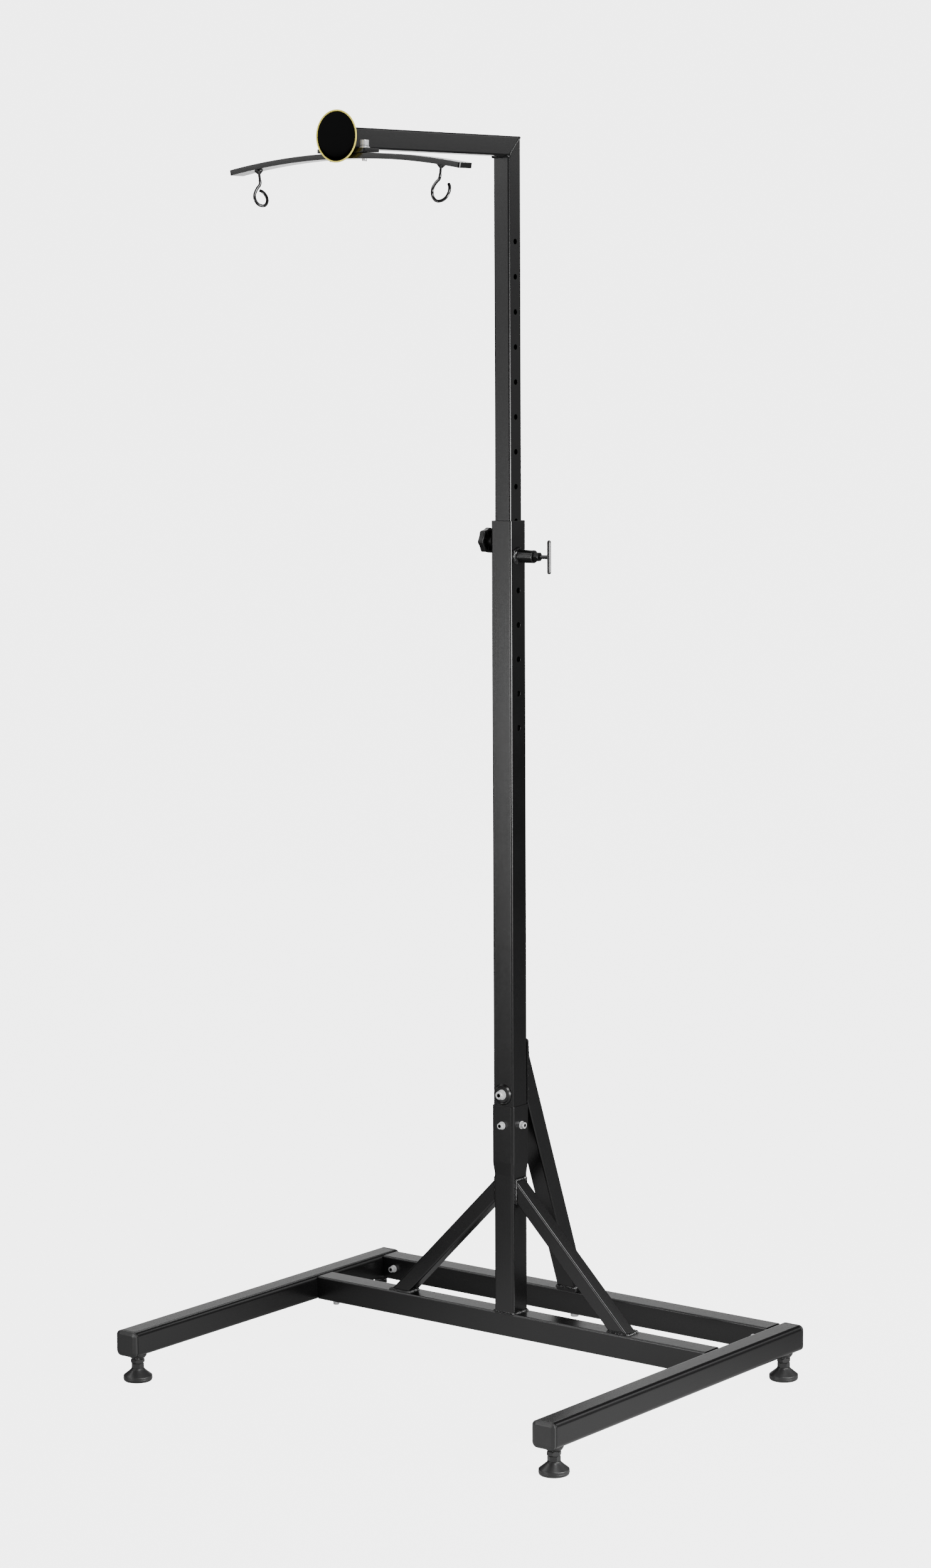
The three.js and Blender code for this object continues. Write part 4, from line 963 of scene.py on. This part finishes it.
edit_all()
bpy.ops.mesh.remove_doubles(threshold=merge_gap)
end_edit(outward=True)
pick_end(path[-1])
for narrower, further in ((0.06, 0.12), (0.12, 0.09), (0.16, 0.04)):
    bpy.ops.mesh.inset(thickness=hook_wire * narrower, depth=hook_wire * further)
pick_end(path[0])
bpy.ops.mesh.inset(thickness=0.0004, depth=0.0006)
end_edit()
shank = cut_thread("shank", shank_crest, shank_root, shank_pitch, shank_low, shank_high)
hook = join_pieces([hook, shank], "hook")
nut = turn_on_lathe("nut", hook_nut_profile, 48, ring=True)
for side, hand in hands:
    turn = (0, hand * hook_lean, 0)
    twin = copy_of(hook, f"{side}_wire_hook")
    put(twin, (0, 0, 0), (0, 0, math.radians(hook_turns[side])))
    x, z = on_arch(hand * hook_lean, hook_start)
    fit_piece(twin, f"{side}_hook", blackened, [f"{side}_screw_hook"],
              (x, hang_y, arch_centre + z), turn)
    x, z = on_arch(hand * hook_lean, hook_nut_low)
    fit_piece(copy_of(nut, f"{side}_hook_flange_nut"), "mast", blackened, [f"{side}_hook_nut"],
              (x, hang_y, arch_centre + z), turn)
bpy.data.objects.remove(hook)
bpy.data.objects.remove(nut)

# Spring plunger on the right of the lower column: a turned barrel welded to the tube, a hexagonal bush
# screwed into it, and the locking pin with a bar across its end to pull it by.
plunger_place = (column_y, plunger_level)
barrel_low = bar_face + seat_gap
barrel_profile = [
    (0.0065, 0), (0.0144, 0), (0.0140, 0.0008), (0.0122, 0.0019), (0.0108, 0.0030), (0.0101, 0.0043),
    (0.0100, 0.0050), (0.0100, 0.0298), (0.0098, 0.0304), (0.0094, 0.0308), (0.0088, 0.0310),
    (0.0065, 0.0310), (0.0065, 0)]
bead_middle, bead_radius = 0.0112, 0.0030
bush_low = barrel_low + 0.0310
bush_flats = 0.013
bush_length = 0.0094
bush_bore = 0.0033
pin_profile = [(0.0030, 0.0154), (0.0040, 0.0164), (0.0040, 0.0193), (0.0060, 0.0193), (0.0060, 0.0223),
               (0.0030, 0.0223), (0.0030, 0.0775)]
pull_reach = 0.0775
pull_radius = 0.0032
pull_half = 0.026
barrel = turn_on_lathe("plunger_welded_barrel", barrel_profile, 72, ring=True)
fit_piece(barrel, "stand", powder_coat, ["plunger_barrel"], (barrel_low, *plunger_place), along_x)
bead = [(bead_middle + bead_radius * math.cos(angle), bead_radius * math.sin(angle))
        for angle in (step * math.pi / 8 for step in range(17))]
weld = turn_on_lathe("plunger_weld", bead, 96, ring=True)
roughen(weld, 0.0018)
fit_piece(weld, "stand", powder_coat, (), (bar_face, *plunger_place), along_x)
bush = hexagon("plunger_hexagon_bush", bush_flats, 0, bush_length, neck_chamfer)
bore_out(bush, bush_bore, 0, bush_length)
break_edges(bush, fine_edge)
oxide = new_finish("blackened_steel", "oxide blackened steel", (0.003, 0.003, 0.0031), 0.34,
                   grain_size=700, patch_size=120, specular=0.35)
fit_piece(bush, "stand", oxide, ["plunger_bush"], (bush_low + seat_gap, *plunger_place), along_x)
pin = turn_on_lathe("plunger_pull_pin", pin_profile, 48)
dome = [(pull_radius * math.sin(angle), -pull_half + pull_radius * (1 - math.cos(angle)))
        for angle in map(math.radians, (8, 25, 42, 60, 75, 90))]
pull = turn_on_lathe("pull", dome + [(r, -h) for r, h in reversed(dome)], 48)
put(pull, (0, 0, pull_reach), along_x)
shape_with(pin, pull, "UNION")
fit_piece(pin, "pin", blackened, ["plunger_pin"], (0, *plunger_place), along_x)

# Star knob on the left of the lower column: moulded in black plastic with seven lobes, a hub and a
# hollow back, on a stud that runs through a nut welded to the tube and clamps the upper column.
clamp_level = 1.292
weld_nut_height, weld_nut_bore = 0.0065, 0.0042
weld_ring = 0.0072
knob_hub_low, knob_rim_low, knob_top = 0.0268, 0.0348, 0.0448
knob_radius, knob_edge, scallop_depth, scallop_radius = 0.020, 0.0018, 0.0023, 0.0200
knob_bore, knob_bore_depth = 0.0041, 0.0113
hub_radius, mouth_radius, hollow_radius = 0.0090, 0.0156, 0.0150
rib_middle, rib_level, rib_size = 0.0125, 0.0410, (0.011, 0.0014, 0.0080)
lobe_blend = 1500
lobes, lobe_steps, first_lobe = 7, 20, 8
along_left = (0, -math.pi / 2, 0)
nut = hexagon("clamp_weld_nut", bush_flats, 0, weld_nut_height, neck_chamfer)
bore_out(nut, weld_nut_bore, 0, weld_nut_height)
break_edges(nut, fine_edge)
fit_piece(nut, "stand", powder_coat, ["weld_nut"], (-bar_face - seat_gap, column_y, clamp_level),
          along_left)
ring = [(-bar_face, column_y + weld_ring * math.sin(angle), clamp_level + weld_ring * math.cos(angle))
        for angle in (step * math.pi / 6 for step in range(13))]
lay_weld("clamp_nut_weld", list(zip(ring, ring[1:])), "stand", radius=0.0020, lumps=0.0005)
knob = add(bpy.ops.mesh.primitive_circle_add, "star_clamp_knob", vertices=lobes * lobe_steps,
           radius=knob_radius, fill_type="NGON", location=(0, 0, knob_rim_low))
bpy.ops.object.mode_set(mode="EDIT")
shape = bmesh.from_edit_mesh(knob.data)
scallop_centre = knob_radius - scallop_depth + scallop_radius
for corner in shape.verts:
    angle = math.atan2(corner.co.y, corner.co.x) - math.radians(first_lobe)
    aside = (angle * lobes / math.pi / 2 % 1 - 0.5) * 2 * math.pi / lobes
    reach = math.sqrt(scallop_radius ** 2 - (scallop_centre * math.sin(aside)) ** 2)
    scallop = scallop_centre * math.cos(aside) - reach
    share = 1 - math.log(1 + math.exp(lobe_blend * (knob_radius - scallop))) / lobe_blend / knob_radius
    corner.co.x *= share
    corner.co.y *= share
bmesh.update_edit_mesh(knob.data)
bpy.ops.mesh.select_all(action="SELECT")
pull_out(knob_top - knob_rim_low)
end_edit(outward=True)
break_edges(knob, knob_edge, math.radians(60), 5)
mouth, floor_level = knob_rim_low - 0.001, knob_top - 0.0035
hollow = turn_on_lathe("hollow", [
    (hub_radius, mouth), (mouth_radius, mouth), (hollow_radius, floor_level),
    (hub_radius, floor_level), (hub_radius, mouth)], 64, ring=True)
ribs = []
for step in range(lobes):
    angle = math.radians(first_lobe + 360 / lobes * (step + 0.5))
    place = (rib_middle * math.cos(angle), rib_middle * math.sin(angle), rib_level)
    ribs.append(add(bpy.ops.mesh.primitive_cube_add, "rib", size=1, location=place,
                    rotation=(0, 0, angle), scale=rib_size))
shape_with(hollow, join_pieces(ribs, "ribs"))
shape_with(knob, hollow)
hub = turn_on_lathe("hub", [(hub_radius - 0.0004, knob_hub_low), (hub_radius, knob_hub_low + 0.0004),
                            (hub_radius, floor_level - 0.0001)], 64)
shape_with(knob, hub, "UNION")
shape_with(knob, turn_on_lathe("dish", [(0.0088, knob_top - 0.001), (0.0100, knob_top + 0.0002)], 64))
bore_out(knob, knob_bore, knob_hub_low, knob_hub_low + knob_bore_depth)
knob_plastic = new_finish("black_plastic", "dark moulded plastic", (0.005, 0.005, 0.0051), 0.36,
                          grain_size=1400, grain_depth=0.00002, patch_size=30, specular=0.4)
fit_piece(knob, "knob", knob_plastic, ["star_knob"], (0, column_y, clamp_level), along_left)

# Coil spring in the plunger's barrel: five turns of bright wire between the pin's collar and the bush.
# Here it keeps one length; the real spring shortens by the ten millimetres that the pin is pulled out.
coil_wire = 0.0012
coil_radius = 0.0048
coils = 5
spring_low, spring_high = (corner[0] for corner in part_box("plunger_spring"))
spring_length = spring_high - spring_low
spring = add(bpy.ops.mesh.primitive_circle_add, "plunger_coil_spring", vertices=12,
             radius=coil_wire / 2, location=(coil_radius, 0, coil_wire / 2), rotation=along_y)
pitch = (spring_length - coil_wire) / coils
apply_to(spring, "SCREW", screw_offset=pitch, iterations=coils, steps=32, render_steps=32)
edit_all()
bpy.ops.mesh.fill_holes(sides=0)
end_edit(outward=True)
spring_steel = new_finish("spring_steel", "bright spring wire", (0.42, 0.42, 0.43), 0.3, 1.0,
                          patch_size=200)
fit_piece(spring, "stand", spring_steel, ["plunger_spring"], (spring_low, *plunger_place), along_x)
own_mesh(spring)

# Plastic sleeve in the mouth of the lower column, and the pieces that are hidden inside the tubes: the
# clamp stud, the column bolt's nut and two plugs.
sleeve_width, sleeve_corner = 0.0334, 0.0010
sleeve_bore, bore_corner = 0.0304, 0.0020
sleeve_low = 1.300
length = lower_top - sleeve_low
sleeve = square_stock("column_guide_sleeve", sleeve_width, sleeve_corner, length)
shape_with(sleeve, square_stock("bore", sleeve_bore, bore_corner, length + 0.01))
break_edges(sleeve, fine_edge)
fit_piece(sleeve, "stand", black_plastic, ["guide_sleeve"], (0, column_y, sleeve_low + length / 2))
for name, finish in (("clamp_stud", zinc), ("column_bolt_nut", zinc),
                     ("upper_column_foot_plug", black_plastic), ("arm_end_plug", black_plastic)):
    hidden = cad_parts[name]
    hidden.data.materials.clear()
    hidden.data.materials.append(finish)
    for facet in hidden.data.polygons:
        facet.use_smooth = True
    hidden.modifiers.new("closed seams", "WELD").merge_threshold = 0.00001
    hidden.modifiers.new("hard edges", "EDGE_SPLIT").split_angle = math.radians(35)
